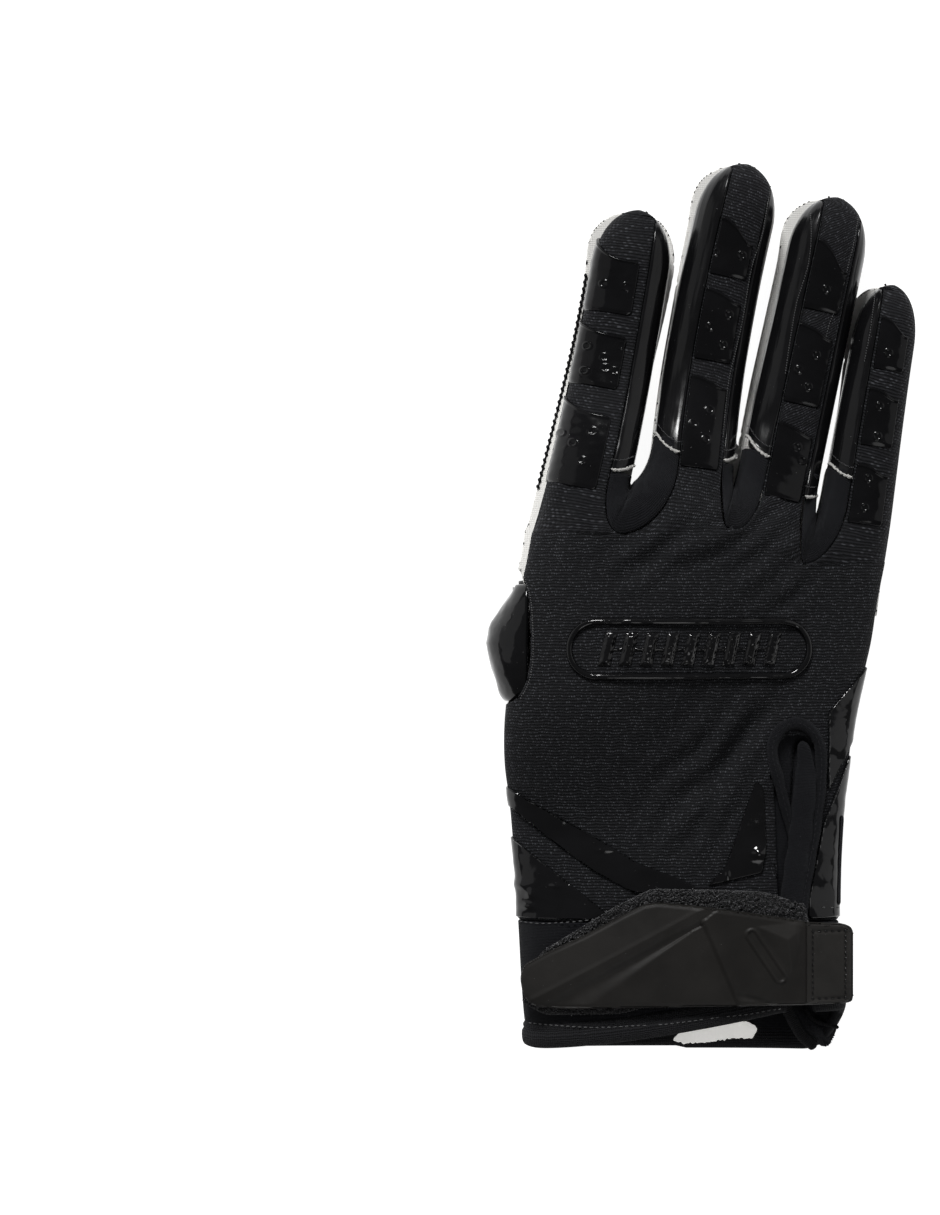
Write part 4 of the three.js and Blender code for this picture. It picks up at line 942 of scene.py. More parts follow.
FRAY = ClothFinish("cut cotton edge", Cloth.FELT, (0.7, 0.69, 0.66), (0.9, 0.88, 0.84), 0.3, 0.1, 0.9, 0.1)
# Its glow of 0.42 is painted light: the label glows so that it looks lit where it lies in the strap's shade.
LABEL = ClothFinish("woven label", Cloth.FELT, (0.88, 0.87, 0.84), (0.9, 0.89, 0.87), 0.35, 0.06, 0.8, 0.05, 0.42)
BAND = GripFinish("printed grip", (0.0034, 0.0034, 0.0038), 0.07, 0.16, 0.05, 0.5, 0.3, 1.0)
GEL = GripFinish("gel pad", (0.0036, 0.0036, 0.004), 0.1, 0.07, 0.1, 0.7, 0.15, 1.0)
SIDE = GripFinish("side grip", (0.0036, 0.0036, 0.004), 0.16, 0.1, 0.08, 0.45, 0.24, 0.06)
STRAP = GripFinish("satin strap", (0.0082, 0.0076, 0.007), 0.5, 0.03, 0.5, 0.3, 0.16, 1.0)
STRAP_END = GripFinish("sewn strap end", (0.0125, 0.0118, 0.011), 0.55, 0.03, 0.5, 0.3, 0.16, 1.0)
PALM = GripFinish("tacky palm", (0.0045, 0.0045, 0.005), 0.22, 0.2, 0.3, 0.3, 0.5, 1.0)


class NodeKit:
    """Short ways to place and join shader nodes in one tree."""

    def __init__(self, tree: bpy.types.NodeTree) -> None:
        """Keep the tree that nodes are placed in."""
        self.tree = tree

    def fill(self, node: Node, inputs: dict) -> None:
        """Set a node's inputs.

        Args:
            node: The node.
            inputs: Values, or sockets to join, by input name or number.
        """
        for key, value in inputs.items():
            if isinstance(value, Socket):
                self.tree.links.new(value, node.inputs[key])
            else:
                node.inputs[key].default_value = value

    def node(self, kind: str, inputs: dict | None = None, **settings: object) -> Node:
        """Place a node.

        Args:
            kind: The node's type name.
            inputs: Values, or sockets to join, by input name or number.
            settings: The node's own settings.

        Returns:
            The node.
        """
        made = self.tree.nodes.new(kind)
        for key, value in settings.items():
            setattr(made, key, value)
        self.fill(made, inputs or {})
        return made

    def math(self, operation: str, a: object, b: object = 0.0, c: object = 0.0) -> Socket:
        """Place a Math node and return its result."""
        return self.node("ShaderNodeMath", {0: a, 1: b, 2: c}, operation=operation).outputs[0]

    def ramp(self, value: object, low: float, high: float, to_low: float = 0.0, to_high: float = 1.0) -> Socket:
        """Map a value smoothly from one range to another."""
        return self.node("ShaderNodeMapRange", {0: value, 1: low, 2: high, 3: to_low, 4: to_high},
                         interpolation_type="SMOOTHSTEP").outputs[0]

    def mix(self, share: object, a: object, b: object) -> Socket:
        """Mix two colours, each a socket or three numbers."""
        low, high = ((*c, 1.0) if isinstance(c, tuple) else c for c in (a, b))
        return self.node("ShaderNodeMix", {0: share, 6: low, 7: high}, data_type="RGBA").outputs[2]

    def noise(self, vector: object, scale: float, detail: float = 3.0, rough: float = 0.5) -> Socket:
        """Place a Noise Texture and return its value."""
        inputs = {"Vector": vector, "Scale": scale, "Detail": detail, "Roughness": rough}
        return self.node("ShaderNodeTexNoise", inputs).outputs[0]


def new_group(name: str, inputs: dict[str, float], outputs: Sequence[str]) -> tuple[Tree, NodeKit, dict, Node]:
    """Make a node group with a Vector input, number inputs and named outputs.

    Args:
        name: The group's name.
        inputs: The number inputs and their values when nothing is joined to them.
        outputs: The outputs' names.

    Returns:
        The group, a kit for it, its input sockets by name, and its output node.
    """
    tree = bpy.data.node_groups.new(name, "ShaderNodeTree")
    tree.interface.new_socket("Vector", in_out="INPUT", socket_type="NodeSocketVector")
    for key, value in inputs.items():
        tree.interface.new_socket(key, in_out="INPUT", socket_type="NodeSocketFloat").default_value = value
    for key in outputs:
        tree.interface.new_socket(key, in_out="OUTPUT", socket_type="NodeSocketFloat")
    kit = NodeKit(tree)
    entry, leave = kit.node("NodeGroupInput"), kit.node("NodeGroupOutput")
    return tree, kit, {s.name: s for s in entry.outputs}, leave


class Finishes:
    """Builds the shared pattern groups once, and a material for each finish."""

    def __init__(self) -> None:
        """Build the groups."""
        self.knit_group = self._knit()
        self.weave_group = self._weave()
        self.dust_group = self._dust()
        self.soft_group = self._soft()

    def _knit(self) -> Tree:
        """Rows of small stitches: ribs across the finger, broken into loops, with painted highlight as light specks on
        the crests of random loops; Row is what cloth paints shade with in the rib valleys.
        """
        tree, kit, at, leave = new_group("stitch rows", {"Thread": 0.6}, ("Height", "CrestGlint", "Row"))
        split = kit.node("ShaderNodeSeparateXYZ", {0: at["Vector"]})
        near = kit.math("MULTIPLY_ADD", kit.noise(at["Vector"], 0.9, 2.0), 0.35, split.outputs[1])
        y = kit.math("MULTIPLY_ADD", kit.noise(at["Vector"], 0.35, 2.0), 0.9, near)
        row = kit.math("DIVIDE", y, at["Thread"])
        rib = kit.math("SINE", kit.math("MULTIPLY", row, 2 * math.pi))
        odd = kit.math("MULTIPLY", kit.math("FLOOR", row), 0.5)
        width = kit.math("MULTIPLY", at["Thread"], 0.8)
        column = kit.math("ADD", kit.math("DIVIDE", split.outputs[0], width), odd)
        loop = kit.math("SINE", kit.math("MULTIPLY", column, 2 * math.pi))
        height = kit.math("MULTIPLY_ADD", loop, 0.32, kit.math("MULTIPLY", rib, 0.42))
        cell = kit.node("ShaderNodeCombineXYZ", {0: kit.math("FLOOR", column), 1: kit.math("FLOOR", row), 2: 0.0})
        chance = kit.node("ShaderNodeTexWhiteNoise", {"Vector": cell.outputs[0]}).outputs[0]
        # Painted highlight: random loops get light specks on their crests, where the light catches.
        shine = kit.math("MULTIPLY", kit.ramp(chance, 0.45, 1.0), kit.ramp(height, 0.05, 0.6))
        kit.fill(leave, {"Height": height, "CrestGlint": shine, "Row": kit.ramp(rib, -1.0, 1.0)})
        return tree

    def _weave(self) -> Tree:
        """A plain over-and-under cloth: two crossed waves, each on top in turn."""
        tree, kit, at, leave = new_group("crossed threads", {"Thread": 0.5}, ("Height", "CrestGlint", "Row"))
        split = kit.node("ShaderNodeSeparateXYZ", {0: at["Vector"]})
        wander = kit.noise(at["Vector"], 0.5, 2.0)
        u = kit.math("DIVIDE", kit.math("MULTIPLY_ADD", wander, 0.4, split.outputs[0]), at["Thread"])
        v = kit.math("DIVIDE", kit.math("MULTIPLY_ADD", wander, -0.3, split.outputs[1]), at["Thread"])
        a = kit.math("SINE", kit.math("MULTIPLY", kit.math("ADD", u, v), math.pi))
        b = kit.math("SINE", kit.math("MULTIPLY", kit.math("SUBTRACT", u, v), math.pi))
        height = kit.math("MULTIPLY", a, b)
        fine = kit.noise(at["Vector"], 7.0, 2.0, 0.6)
        # Painted highlight: light specks where the threads lie on top.
        crest_glint = kit.math("MULTIPLY", kit.ramp(fine, 0.52, 0.75), kit.ramp(height, 0.0, 0.8))
        # Row is low where the threads lie low; cloth uses it to paint shade between them.
        kit.fill(leave, {"Height": height, "CrestGlint": crest_glint, "Row": kit.ramp(height, -1.0, 1.0, 0.25, 1.0)})
        return tree

    def _dust(self) -> Tree:
        """Fine dust and lint: sparse small dots and a few short hairs."""
        tree, kit, at, leave = new_group("dust specks", {"Amount": 0.5}, ("Mask",))
        wide = kit.noise(at["Vector"], 0.09, 3.0)
        dots = kit.node("ShaderNodeTexVoronoi", {"Vector": at["Vector"], "Scale": 1.1}, feature="F1")
        keep = kit.node("ShaderNodeTexWhiteNoise", {"Vector": dots.outputs["Position"]}).outputs[0]
        dot = kit.math("MULTIPLY", kit.ramp(dots.outputs["Distance"], 0.09, 0.03), kit.ramp(keep, 0.78, 0.8))
        patchy = kit.math("MULTIPLY", dot, kit.ramp(wide, 0.4, 0.62))
        kit.fill(leave, {"Mask": kit.math("MULTIPLY", patchy, at["Amount"])})
        return tree

    def _soft(self) -> Tree:
        """Broad tone changes of used cloth or rubber, and a fine grain."""
        tree, kit, at, leave = new_group("tone and grain", {"Grain": 0.5}, ("Tone", "Grain"))
        grain = kit.math("MULTIPLY", kit.noise(at["Vector"], 3.2, 3.0, 0.6), at["Grain"])
        kit.fill(leave, {"Tone": kit.noise(at["Vector"], 0.06, 4.0, 0.6), "Grain": grain})
        return tree

    @staticmethod
    def _start(name: str) -> tuple[Material, NodeKit, Node, Socket, Socket]:
        """Make an empty material.

        Args:
            name: The material's name.

        Returns:
            The material, its kit, its shader, the plan map and the object's own place, in millimetres.
        """
        material = bpy.data.materials.new(name)
        material.use_nodes = True
        kit = NodeKit(material.node_tree)
        kit.tree.nodes.clear()
        shader = kit.node("ShaderNodeBsdfPrincipled")
        kit.node("ShaderNodeOutputMaterial", {0: shader.outputs[0]})
        plan = kit.node("ShaderNodeUVMap", uv_map="plan").outputs[0]
        metres = kit.node("ShaderNodeTexCoord").outputs["Object"]
        scaled = kit.node("ShaderNodeMapping", {"Vector": metres, "Scale": (1 / MM,) * 3}).outputs[0]
        return material, kit, shader, plan, scaled

    def cloth(self, finish: ClothFinish) -> Material:
        """Return a cloth material.

        Args:
            finish: Its colours, thread and relief.
        """
        material, kit, shader, plan, place = self._start(finish.name)
        group = self.knit_group if finish.kind is Cloth.RIB_KNIT else self.weave_group
        threads = kit.node("ShaderNodeGroup", node_tree=group)
        kit.fill(threads, {"Vector": plan, "Thread": finish.thread})
        tone = kit.node("ShaderNodeGroup", {"Vector": place, "Grain": 1.0}, node_tree=self.soft_group)
        # Painted shade and light on the rows: the valleys between threads get a darkened copy of the colour and the
        # ridges a lightened copy, 0.45 and 1.4 times, felt 0.96 and 1.0; the third share, 1.2 times, is a random tone
        # change.
        shares = (0.96, 1.0, 1.0) if finish.kind is Cloth.FELT else (0.45, 1.4, 1.2)
        valley, lit_ridge, worn = (tuple(c * share for c in finish.color) for share in shares)
        deep = kit.mix(threads.outputs["Row"], valley, lit_ridge)
        base = kit.mix(kit.ramp(tone.outputs["Tone"], 0.35, 0.68, 0.0, 0.22), deep, worn)
        # Painted highlight: the specks on the thread crests take the lighter crest colour.
        color = kit.mix(threads.outputs["CrestGlint"], base, finish.crest_glint)
        lint = kit.node("ShaderNodeGroup", {"Vector": place, "Amount": 0.35}, node_tree=self.dust_group)
        rough = kit.ramp(tone.outputs["Tone"], 0.3, 0.7, finish.roughness - 0.06, finish.roughness + 0.04)
        height = kit.math("MULTIPLY_ADD", tone.outputs["Grain"], 0.5, threads.outputs["Height"])
        bump = kit.node("ShaderNodeBump", {"Strength": 0.9, "Distance": finish.relief * MM, "Height": height})
        # Emission Strength paints light: a cloth with glow above zero, the label, glows in its own colour to look lit
        # in the strap's shade.
        kit.fill(shader, {
            "Base Color": kit.mix(lint.outputs["Mask"], color, (0.42, 0.42, 0.43)), "Roughness": rough,
            "Normal": bump.outputs[0], "Sheen Weight": finish.sheen, "Sheen Roughness": 0.45,
            "Sheen Tint": (*(min(1.0, c * 5 + 0.1) for c in finish.crest_glint), 1.0), "Specular IOR Level": 0.15,
            "Emission Color": (*finish.color, 1.0), "Emission Strength": finish.glow})
        return material

    def grip(self, finish: GripFinish) -> Material:
        """Return a rubber material: dark, with soft waves, fine grain, smudges and dust.

        Args:
            finish: Its colour and gloss.
        """
        material, kit, shader, plan, place = self._start(finish.name)
        tone = kit.node("ShaderNodeGroup", {"Vector": place, "Grain": finish.grain}, node_tree=self.soft_group)
        dust = kit.node("ShaderNodeGroup", {"Vector": place, "Amount": finish.dust}, node_tree=self.dust_group)
        base = kit.mix(kit.ramp(tone.outputs["Tone"], 0.35, 0.7), finish.color, tuple(c * 1.5 for c in finish.color))
        smudge = kit.ramp(kit.noise(place, 0.16, 5.0, 0.65), 0.45, 0.75, finish.roughness, finish.roughness + 0.12)
        rough = kit.math("ADD", smudge, kit.math("MULTIPLY", dust.outputs["Mask"], 0.5))
        run = kit.node("ShaderNodeMapping", {"Vector": plan, "Scale": (1.0, finish.stretch, 1.0)}).outputs[0]
        wave = kit.noise(run if finish.stretch < 1 else place, 0.16 if finish.stretch == 1 else 0.7, 2.0, 0.4)
        height = kit.math("MULTIPLY_ADD", wave, finish.wave * 8.0, kit.math("MULTIPLY", tone.outputs["Grain"], 0.12))
        bump = kit.node("ShaderNodeBump", {"Strength": 0.8, "Distance": 0.5 * MM, "Height": height})
        kit.fill(shader, {"Base Color": kit.mix(dust.outputs["Mask"], base, (0.5, 0.5, 0.5)), "Roughness": rough,
                          "Normal": bump.outputs[0], "Specular IOR Level": finish.shine})
        return material


@dataclass
class Wardrobe:
    """The materials in use, built once."""

    knit: Material
    jersey: Material
    lining: Material
    webbing: Material
    fuzz: Material
    thread: Material
    seam: Material
    fray: Material
    label: Material
    band: Material
    gel: Material
    side: Material
    strap: Material
    strap_end: Material
    palm: Material

    @staticmethod
    def stocked() -> "Wardrobe":
        """Return a wardrobe with every material built."""
        shop = Finishes()
        cloths = [shop.cloth(f) for f in (KNIT, JERSEY, LINING, WEBBING, FUZZ, THREAD, SEAM, FRAY, LABEL)]
        grips = [shop.grip(f) for f in (BAND, GEL, SIDE, STRAP, STRAP_END, PALM)]
        return Wardrobe(*cloths, *grips)


@dataclass
class Vent:
    """The slit at the wrist: its outline, bound edge, the soft roll beside it and the tongue under it."""

    form: GloveForm
    width: float = 11.5
    length: float = 49.0
    foot_share: float = 0.298
    bound: Array = field(default_factory=lambda: spots(
        (795, 852), (790, 832), (783, 806), (776, 780), (770, 758), (770, 742), (778, 728), (792, 722), (806, 727),
        (816, 741), (819, 760), (818, 785), (815, 812), (811, 840), (806, 868), (802, 892), (799, 914)))
    roll: Array = field(default_factory=lambda: spots(
        (800, 740), (803, 760), (803, 785), (800, 815), (797, 845), (793, 872), (790, 895), (788, 916)))

    def outline(self, grow: float) -> Array:
        """Return the slit's outline: two lines from its foot and a half circle at its top."""
        top = self.form.on_hand(0.323, 0.509)
        cy = self.form.wrist_y + self.length - self.width / 2
        turn = np.linspace(0, math.pi, 25)
        r = self.width / 2 + grow
        arc = np.stack([top[0] + r * np.cos(turn), cy + r * np.sin(turn)], 1)
        foot, half = self.foot_share * self.form.knuckle, self.width * 0.15 + grow
        low = self.form.wrist_y - 0.3
        return np.concatenate([[(foot + half, low)], arc, [(foot - half, low)]])

    def build(self, stock: Wardrobe, ground: Ground) -> None:
        """Build the tongue, the bound edge, whose left limb dives under the roll, and the roll.

        The tongue sags as a parabola across the slit, with a crease near its middle.

        Args:
            stock: The materials.
            ground: The height map that the edge and the roll are laid on.
        """
        form = self.form
        x = np.linspace(-1, 1, 90)[None, :]
        y = np.linspace(0, 1, 200)[:, None]
        cx = lerp(self.foot_share * form.knuckle, form.on_hand(0.323, 0)[0], y)
        half = lerp(self.width * 0.15, self.width / 2, y) + 2.4
        py = form.wrist_y + 0.4 + y * (self.length + 1.6)
        px = cx + x * half
        z = form.drape(points3(px, py, form.back_z(px, py)))[..., 2]
        crease = 1.5 * bell(x - 0.02, 0.09) * smooth(1.0, 0.88, y)
        sag = 1.3 * (1 - x**2) + crease + 0.2 * ripple(px, py * 0.5, 5, 7)
        p = points3(px, py, z - 0.9 - sag)
        tongue = Patch.trimmed(p, outline_distance(p[..., :2], self.outline(2.6)))
        build_piece("vent_tongue", tongue.solid(-1.0, 0.0, 0.2), stock.jersey, ("vent_gusset",))
        bound = smooth_path(self.bound, 260)
        t = np.linspace(0, 1, len(bound))
        under = 1.3 * smooth(0.2, 0.06, t)
        line = ground.lay(bound, 0.55, 8) - np.stack([0 * t, 0 * t, under], 1)
        wide = 1.55 * (1 + 0.05 * np.sin(t * 60)) * lerp(0.8, 1.0, smooth(0.02, 0.25, t))
        edge = rope(line, wide, 0.85, 18, 1.2)
        groove = stitch_row(line + (0, 0, 0.86), 1.5, 1.05, 0.24)
        path = smooth_path(self.roll, 170)
        t = np.linspace(0, 1, len(path))
        fat = lerp(1.7, 3.1, smooth(0.0, 0.3, t)) * lerp(1.0, 0.85, smooth(0.8, 1.0, t))
        fat = fat * (1 + 0.04 * np.sin(t * 37 + 1))
        z = ground.lay(path, 0.0, 20)[:, 2] + lerp(-0.9, 0.25, smooth(0.0, 0.3, t))
        roll = rope(points3(path[:, 0], path[:, 1], z), fat, lerp(0.8, 1.35, smooth(0, 0.4, t)), 26, 3.0)
        roll.points[:, 2] += 0.1 * ripple(roll.points[:, 0], roll.points[:, 1] * 0.5, 15, 5)
        build_piece("vent_binding_roll", Patch.welded(edge, roll), stock.jersey, ("vent_binding",))
        build_piece("vent_stitches", groove, stock.thread)


@dataclass
class BackPanel:
    """The knit over the back of the hand and the fingers."""

    form: GloveForm
    wall: float = 1.3
    columns: tuple[int, ...] = (44, 30, 30, 44)
    rows: int = 150
    creases: tuple = (
        ((715, 755), 52, 9.0, (17, 12), 1.15), ((690, 815), 56, 7.5, (12, 9), 0.8), ((735, 530), 34, 7.0, (13, 8), 0.8),
        ((650, 545), 38, 7.5, (12, 8), 0.8), ((790, 585), 40, 7.0, (10, 9), 0.7), ((560, 500), 70, 8.0, (16, 8), 0.3),
    )

    def notch(self) -> Array:
        """Return the outline of the cut-out for the thumb: a bow on the hand's side."""
        side = spots((488, 705), (505, 703), (517, 695), (525, 680), (529, 658), (529, 630), (527, 600), (521, 572))
        return np.concatenate([smooth_path(side, 40), spots((440, 572), (440, 705))])

    def hand_grid(self) -> Array:
        """Return the grid over the back of the hand."""
        q = [np.linspace(*self.form.finger_ends(i), n + 1)[(1 if i else 0):] for i, n in enumerate(self.columns)]
        q = np.concatenate(q)
        return self.form.hand_point(q[None, :], np.linspace(0, 1, self.rows)[:, None])

    def finger_grid(self, i: int) -> tuple[Array, Array]:
        """Return the grid over a finger's back, and its plan map in millimetres."""
        f, form = FINGERS[i], self.form
        length = form.reach(f)
        s = np.concatenate([form.morph * np.linspace(0, 1, 22)[:-1] ** 1.6,
                            np.linspace(form.morph, length - form.tip_length, 70)[:-1],
                            form.cap_steps(f)])[:, None]
        across = np.linspace(0, 1, self.columns[i] + 1)[None, :]
        p = form.strip_point(i, across, s)
        width = np.linalg.norm(np.diff(p[..., :2], axis=1), axis=-1).sum(axis=1)[:, None]
        return p, np.stack(np.broadcast_arrays(p[:1, :1, 0] + (across - 0.5) * width, p[:1, :, 1] + s), -1)

    def crease(self, p: Array) -> Array:
        """Return points with soft creases: long ones beside the vent and between the crotches, and fine ones.

        Each set is a sine across its own direction, faded by a bell round its centre.
        """
        x, y = p[..., 0], p[..., 1]
        out = p.copy()
        top = smooth(8, 13, p[..., 2])
        total = 0.06 * ripple(x * 0.5, y, 11, 9)
        for place, turn, pitch, spread, height in self.creases:
            centre = spots(place)[0]
            c, n = math.cos(math.radians(turn)), math.sin(math.radians(turn))
            u, v = (x - centre[0]) * c + (y - centre[1]) * n, (y - centre[1]) * c - (x - centre[0]) * n
            fade = np.exp(-(u / spread[0]) ** 2 - (v / spread[1]) ** 2)
            total = total + height * fade * np.sin(v * 2 * math.pi / pitch + 0.9 * ripple(u, v, int(pitch * 9), 26))
        out[..., 2] += top * total
        return out

    def build(self, stock: Wardrobe, vent: Vent, ground: Ground) -> None:
        """Build the panel: a grid over the hand, cut at the vent and the thumb, and one over each finger.

        Args:
            stock: The materials.
            vent: The slit to leave open.
            ground: The height map, which is raised to the uncut panel.
        """
        p = self.crease(self.form.drape(self.hand_grid()))
        ground.cover(Patch.of_grid(p))
        holes = np.minimum(*(outline_distance(p[..., :2], hole) for hole in (vent.outline(0.4), self.notch())))
        hand = Patch.trimmed(p, -holes)
        fingers = []
        for i in range(4):
            grid, uv = self.finger_grid(i)
            fingers.append(Patch.of_grid(self.crease(self.form.drape(grid)), uv))
        panel = Patch.welded(hand, *fingers)
        build_piece("knit_back", panel.solid(-self.wall, 0.0, 0.35), stock.knit, ("back_panel",))
        ground.cover(*fingers)


@dataclass
class FingerSides:
    """The side strips between the knit and the palm, and the rolled gussets in the crotches."""

    form: GloveForm
    wall: float = 1.1
    seam: float = 0.16
    swell: float = 1.9
    columns: int = 26
    band: float = 14
    slants: dict = field(default_factory=lambda: {
        "index_inner": (0.0, 2.6), "middle_outer": (-4.0, 0.5), "middle_inner": (0.5, 2.6), "ring_outer": (-1.3, 3.2),
        "ring_inner": (-6.8, -5.6), "little_outer": (-2.2, 0.8)})
    cuts: list = field(default_factory=list)

    def row(self, f: Finger, side: int, s: Array) -> Array:
        """Return a strip's points, in rows from the seam over the widest line to the foot.

        Args:
            f: The finger.
            side: -1 for the side towards the thumb, 1 for the other.
            s: Distances up the finger, a grid with one column for each point of a row.
        """
        start = self.form.finger_seam(f, side, s[:, :1])
        t = np.linspace(0, 1, self.columns)[None, :]
        return self.form.finger_point(f, s, lerp(start, 2.0 * side, t))

    def strips(self, stock: Wardrobe) -> list[Patch]:
        """Build each side strip, from its slanted lower end over the widest line to the fingertip.

        Args:
            stock: The materials.

        Returns:
            The strips' surfaces; their lower edges are kept in cuts.
        """
        made = []
        for i, f in enumerate(FINGERS):
            for side, rise in ((-1, f.left_rise), (1, f.right_rise)):
                if rise == 0:
                    continue
                part = f"{f.name}_{'outer' if side < 0 else 'inner'}"
                slant = lerp(*self.slants[part], smooth(0.0, 0.4, np.linspace(0, 1, self.columns)[None, :]))
                start = rise * self.form.finger_width + slant
                end = self.form.reach(f) - self.form.tip_length * 0.02
                s = lerp(start, end, 1 - (1 - np.linspace(0, 1, 150)[:, None]) ** 1.5)
                p = self.form.drape(self.row(f, side, s))
                u = np.linspace(0, self.band, self.columns)[None, :] * np.ones_like(s)
                raised = 0.4 + 0.25 * max(0.0, -self.slants[part][1])
                p[..., 2] += raised * smooth(9.0, 2.0, s - start)
                self.cuts.append(p[0, :12].copy())
                waves = ripple(s * 0.8, u * 0.5 + 30 * i, 20 + i, 14)
                p[..., 2] += 0.16 * waves * np.sin(u / self.band * math.pi)
                uv = np.stack([u, np.broadcast_to(s, u.shape)], -1)
                name = part + "_side"
                patch = Patch.of_grid(p[::-1] if side < 0 else p, uv[::-1] if side < 0 else uv)
                patch.points += patch.edge_in()[1] * self.seam
                build_piece(name + "_strip", patch.solid(-self.wall, 0.0, 0.3), stock.side, (name,))
                made.append(patch)
        return made

    def gussets(self, stock: Wardrobe) -> list[Patch]:
        """Build each crotch gusset: a quarter round from the knit's U-shaped edge down into the slot.

        Args:
            stock: The materials.

        Returns:
            The gussets' surfaces.
        """
        form, made = self.form, []
        t = np.linspace(1, 0, 40)[:, None]
        quarter = np.linspace(0, 1, 22)[None, :] * math.pi / 2
        across, up = squared(np.sin(quarter), form.finger_power), squared(np.cos(quarter), form.finger_power)
        down = np.linspace(0, 1, 8)[None, 1:]
        for k in range(len(form.crotches)):
            halves = []
            for side in (0, 1):
                floor, start, rise = form.slot_side(k, side, 1 - t)
                top = form.strip_point(k + side, 1.0 - side, (rise * t * t)[:, 0])
                roll = points3(lerp(top[:, None, 0], floor[:, None, 0], across),
                               lerp(top[:, None, 1], floor[:, None, 1], across), lerp(start[2], top[:, None, 2], up))
                wall = points3(floor[:, None, 0], floor[:, None, 1], lerp(start[2], form.stack, down))
                half = np.concatenate([roll, wall], axis=1)
                halves.append(half if side == 0 else half[::-1])
            p = np.concatenate([halves[0], halves[1][1:]])
            swell = np.sin(np.linspace(0, math.pi, p.shape[0]))[:, None] * np.sin(np.linspace(0, math.pi, p.shape[1]))
            run = np.linspace(-1, 1, p.shape[0])[:, None]
            p = form.drape(p)
            creases = 0.7 * bell(run - 0.25, 0.07) + 0.6 * bell(run + 0.3, 0.06)
            p[..., 2] += swell * (self.swell - creases) + 0.32 * ripple(p[..., 0], p[..., 1], 40 + k, 5) * swell
            uv = np.stack(np.meshgrid(np.linspace(0, 18, p.shape[1]), np.linspace(0, 50, p.shape[0])), -1)
            patch = Patch.of_grid(p[::-1], uv[::-1])
            patch.points += patch.edge_in()[1] * self.seam
            name = f"{FINGERS[k].name}_{FINGERS[k + 1].name}_gusset"
            build_piece(name + "_roll", patch.solid(-self.wall, 0.0, 0.3), stock.jersey, (name,))
            made.append(patch)
        return made

    def build(self, stock: Wardrobe) -> list[Patch]:
        """Build the strips and the gussets."""
        return self.strips(stock) + self.gussets(stock)


@dataclass
class PalmSheets:
    """The glossy palm sheet and the white lining sheet above it, lifted over the thumb."""

    form: GloveForm
    cell: float = 0.64
    grip_inset: float = 0.5
    flanges: dict = field(default_factory=lambda: {
        "index": (1.45, 1.5), "middle": (0.9, 0.2), "ring": (1.4, 0.2), "little": (1.0, 0.3)})

    def finger_outline(self, f: Finger) -> Array:
        """Return a finger's outline with its flange."""
        form = self.form
        length = form.reach(f)
        s = np.concatenate([np.linspace(-0.6 * form.finger_width, length - form.tip_length, 30)[:-1],
                            form.cap_steps(f)])
        centre, direction, _, half, _ = form.finger_at(f, s)
        across = np.stack([direction[:, 1], -direction[:, 0]], 1)
        sides = []
        shoulder = bell(s - length * 0.93, 7.0)
        for side in (1, -1):
            extra = self.flanges[f.name][0 if side < 0 else 1] + (1.5 if side < 0 else 0.2) * shoulder
            if (f.name, side) in (("index", 1), ("middle", -1), ("ring", 1), ("little", -1)):
                low = 0.2 if f.name in ("index", "middle") else -0.5
                extra = lerp(low, extra, smooth(0.5, 0.85, s / length))
            out = half + extra * np.minimum(1, half / 4)
            sides.append(centre + across * out[:, None] * side)
        return np.concatenate([sides[0], sides[1][::-1][1:]])

    def web_outline(self, k: int) -> Array:
        """Return the outline between two fingers up to the bottom of their slot."""
        w = np.linspace(0, 1, 20)[:, None]
        before, after = (self.form.slot_side(k, side, w)[0] for side in (0, 1))
        ends = [self.form.finger_at(FINGERS[i], np.array(0.0))[0] for i in (k + 1, k)]
        return np.concatenate([before, after[::-1], ends])

    def hand_outline(self) -> Array:
        """Return the outline of the palm below the fingers."""
        form = self.form
        sides = []
        for side in (-1, 1):
            top = form.wrist_y + form.hand_length * (1 if side < 0 else 0.94)
            y = np.linspace(form.wrist_y + form.gap / 2, top, 60)
            cx, half, _ = form.body(y)
            extra = lerp(-0.5, 1.3, smooth(48, 66, y)) if side < 0 else 0.2 + 0 * y
            sides.append(np.stack([cx + side * (half + extra), y], 1))
        ends = [form.finger_at(f, np.array(0.0))[0] for f in FINGERS]
        return np.concatenate([sides[0], ends, sides[1][::-1]])

    def build(self, stock: Wardrobe, back: BackPanel) -> None:
        """Build both sheets from one grid, cut to the outline of hand, fingers and webs, and the sewn edge.

        Args:
            stock: The materials.
            back: The knit, whose notch for the thumb the sheets share.
        """
        form = self.form
        x, y = np.meshgrid(np.arange(-50, 68, self.cell), np.arange(-24.5, 180, self.cell))
        plan = np.stack([x, y], -1)
        outlines = [self.hand_outline(), *map(self.finger_outline, FINGERS), *map(self.web_outline, range(3))]
        distance = np.min([outline_distance(plan, o) for o in outlines], axis=0)
        distance = np.maximum(distance, -outline_distance(plan, back.notch()))
        p = points3(x, y, form.lift(x, y))
        sheet = Patch.trimmed(p, distance)
        edge = self.finger_outline(FINGERS[0])[55:]
        edge = smooth_path(edge[(edge[:, 1] > 89.6) & (edge[:, 1] < 151)], 140)
        edge[:, 0] += lerp(-0.1, 0.75, smooth(92, 140, edge[:, 1]))
        edge = points3(edge[:, 0], edge[:, 1], 1.4 + form.lift(edge[:, 0], edge[:, 1]))
        stitches = stitch_row(edge + (-0.4, 0, 1.3), 1.75, 1.25, 0.95, 0.6)
        sewn = Patch.welded(stitches, rope(edge + (-0.3, 0, 1.0), 0.26, 0.4, 8))
        build_piece("index_sewn_edge", sewn, stock.webbing)
        grip = Patch.trimmed(p, distance + self.grip_inset)
        build_piece("palm_grip", grip.solid(0.0, form.palm_wall, 0.25), stock.palm, ("palm_face",))
        low = form.palm_wall + form.gap
        backing = sheet.solid(low, low + form.palm_wall, 0.25)
        build_piece("palm_backing", backing, stock.lining, ("palm_lining",))


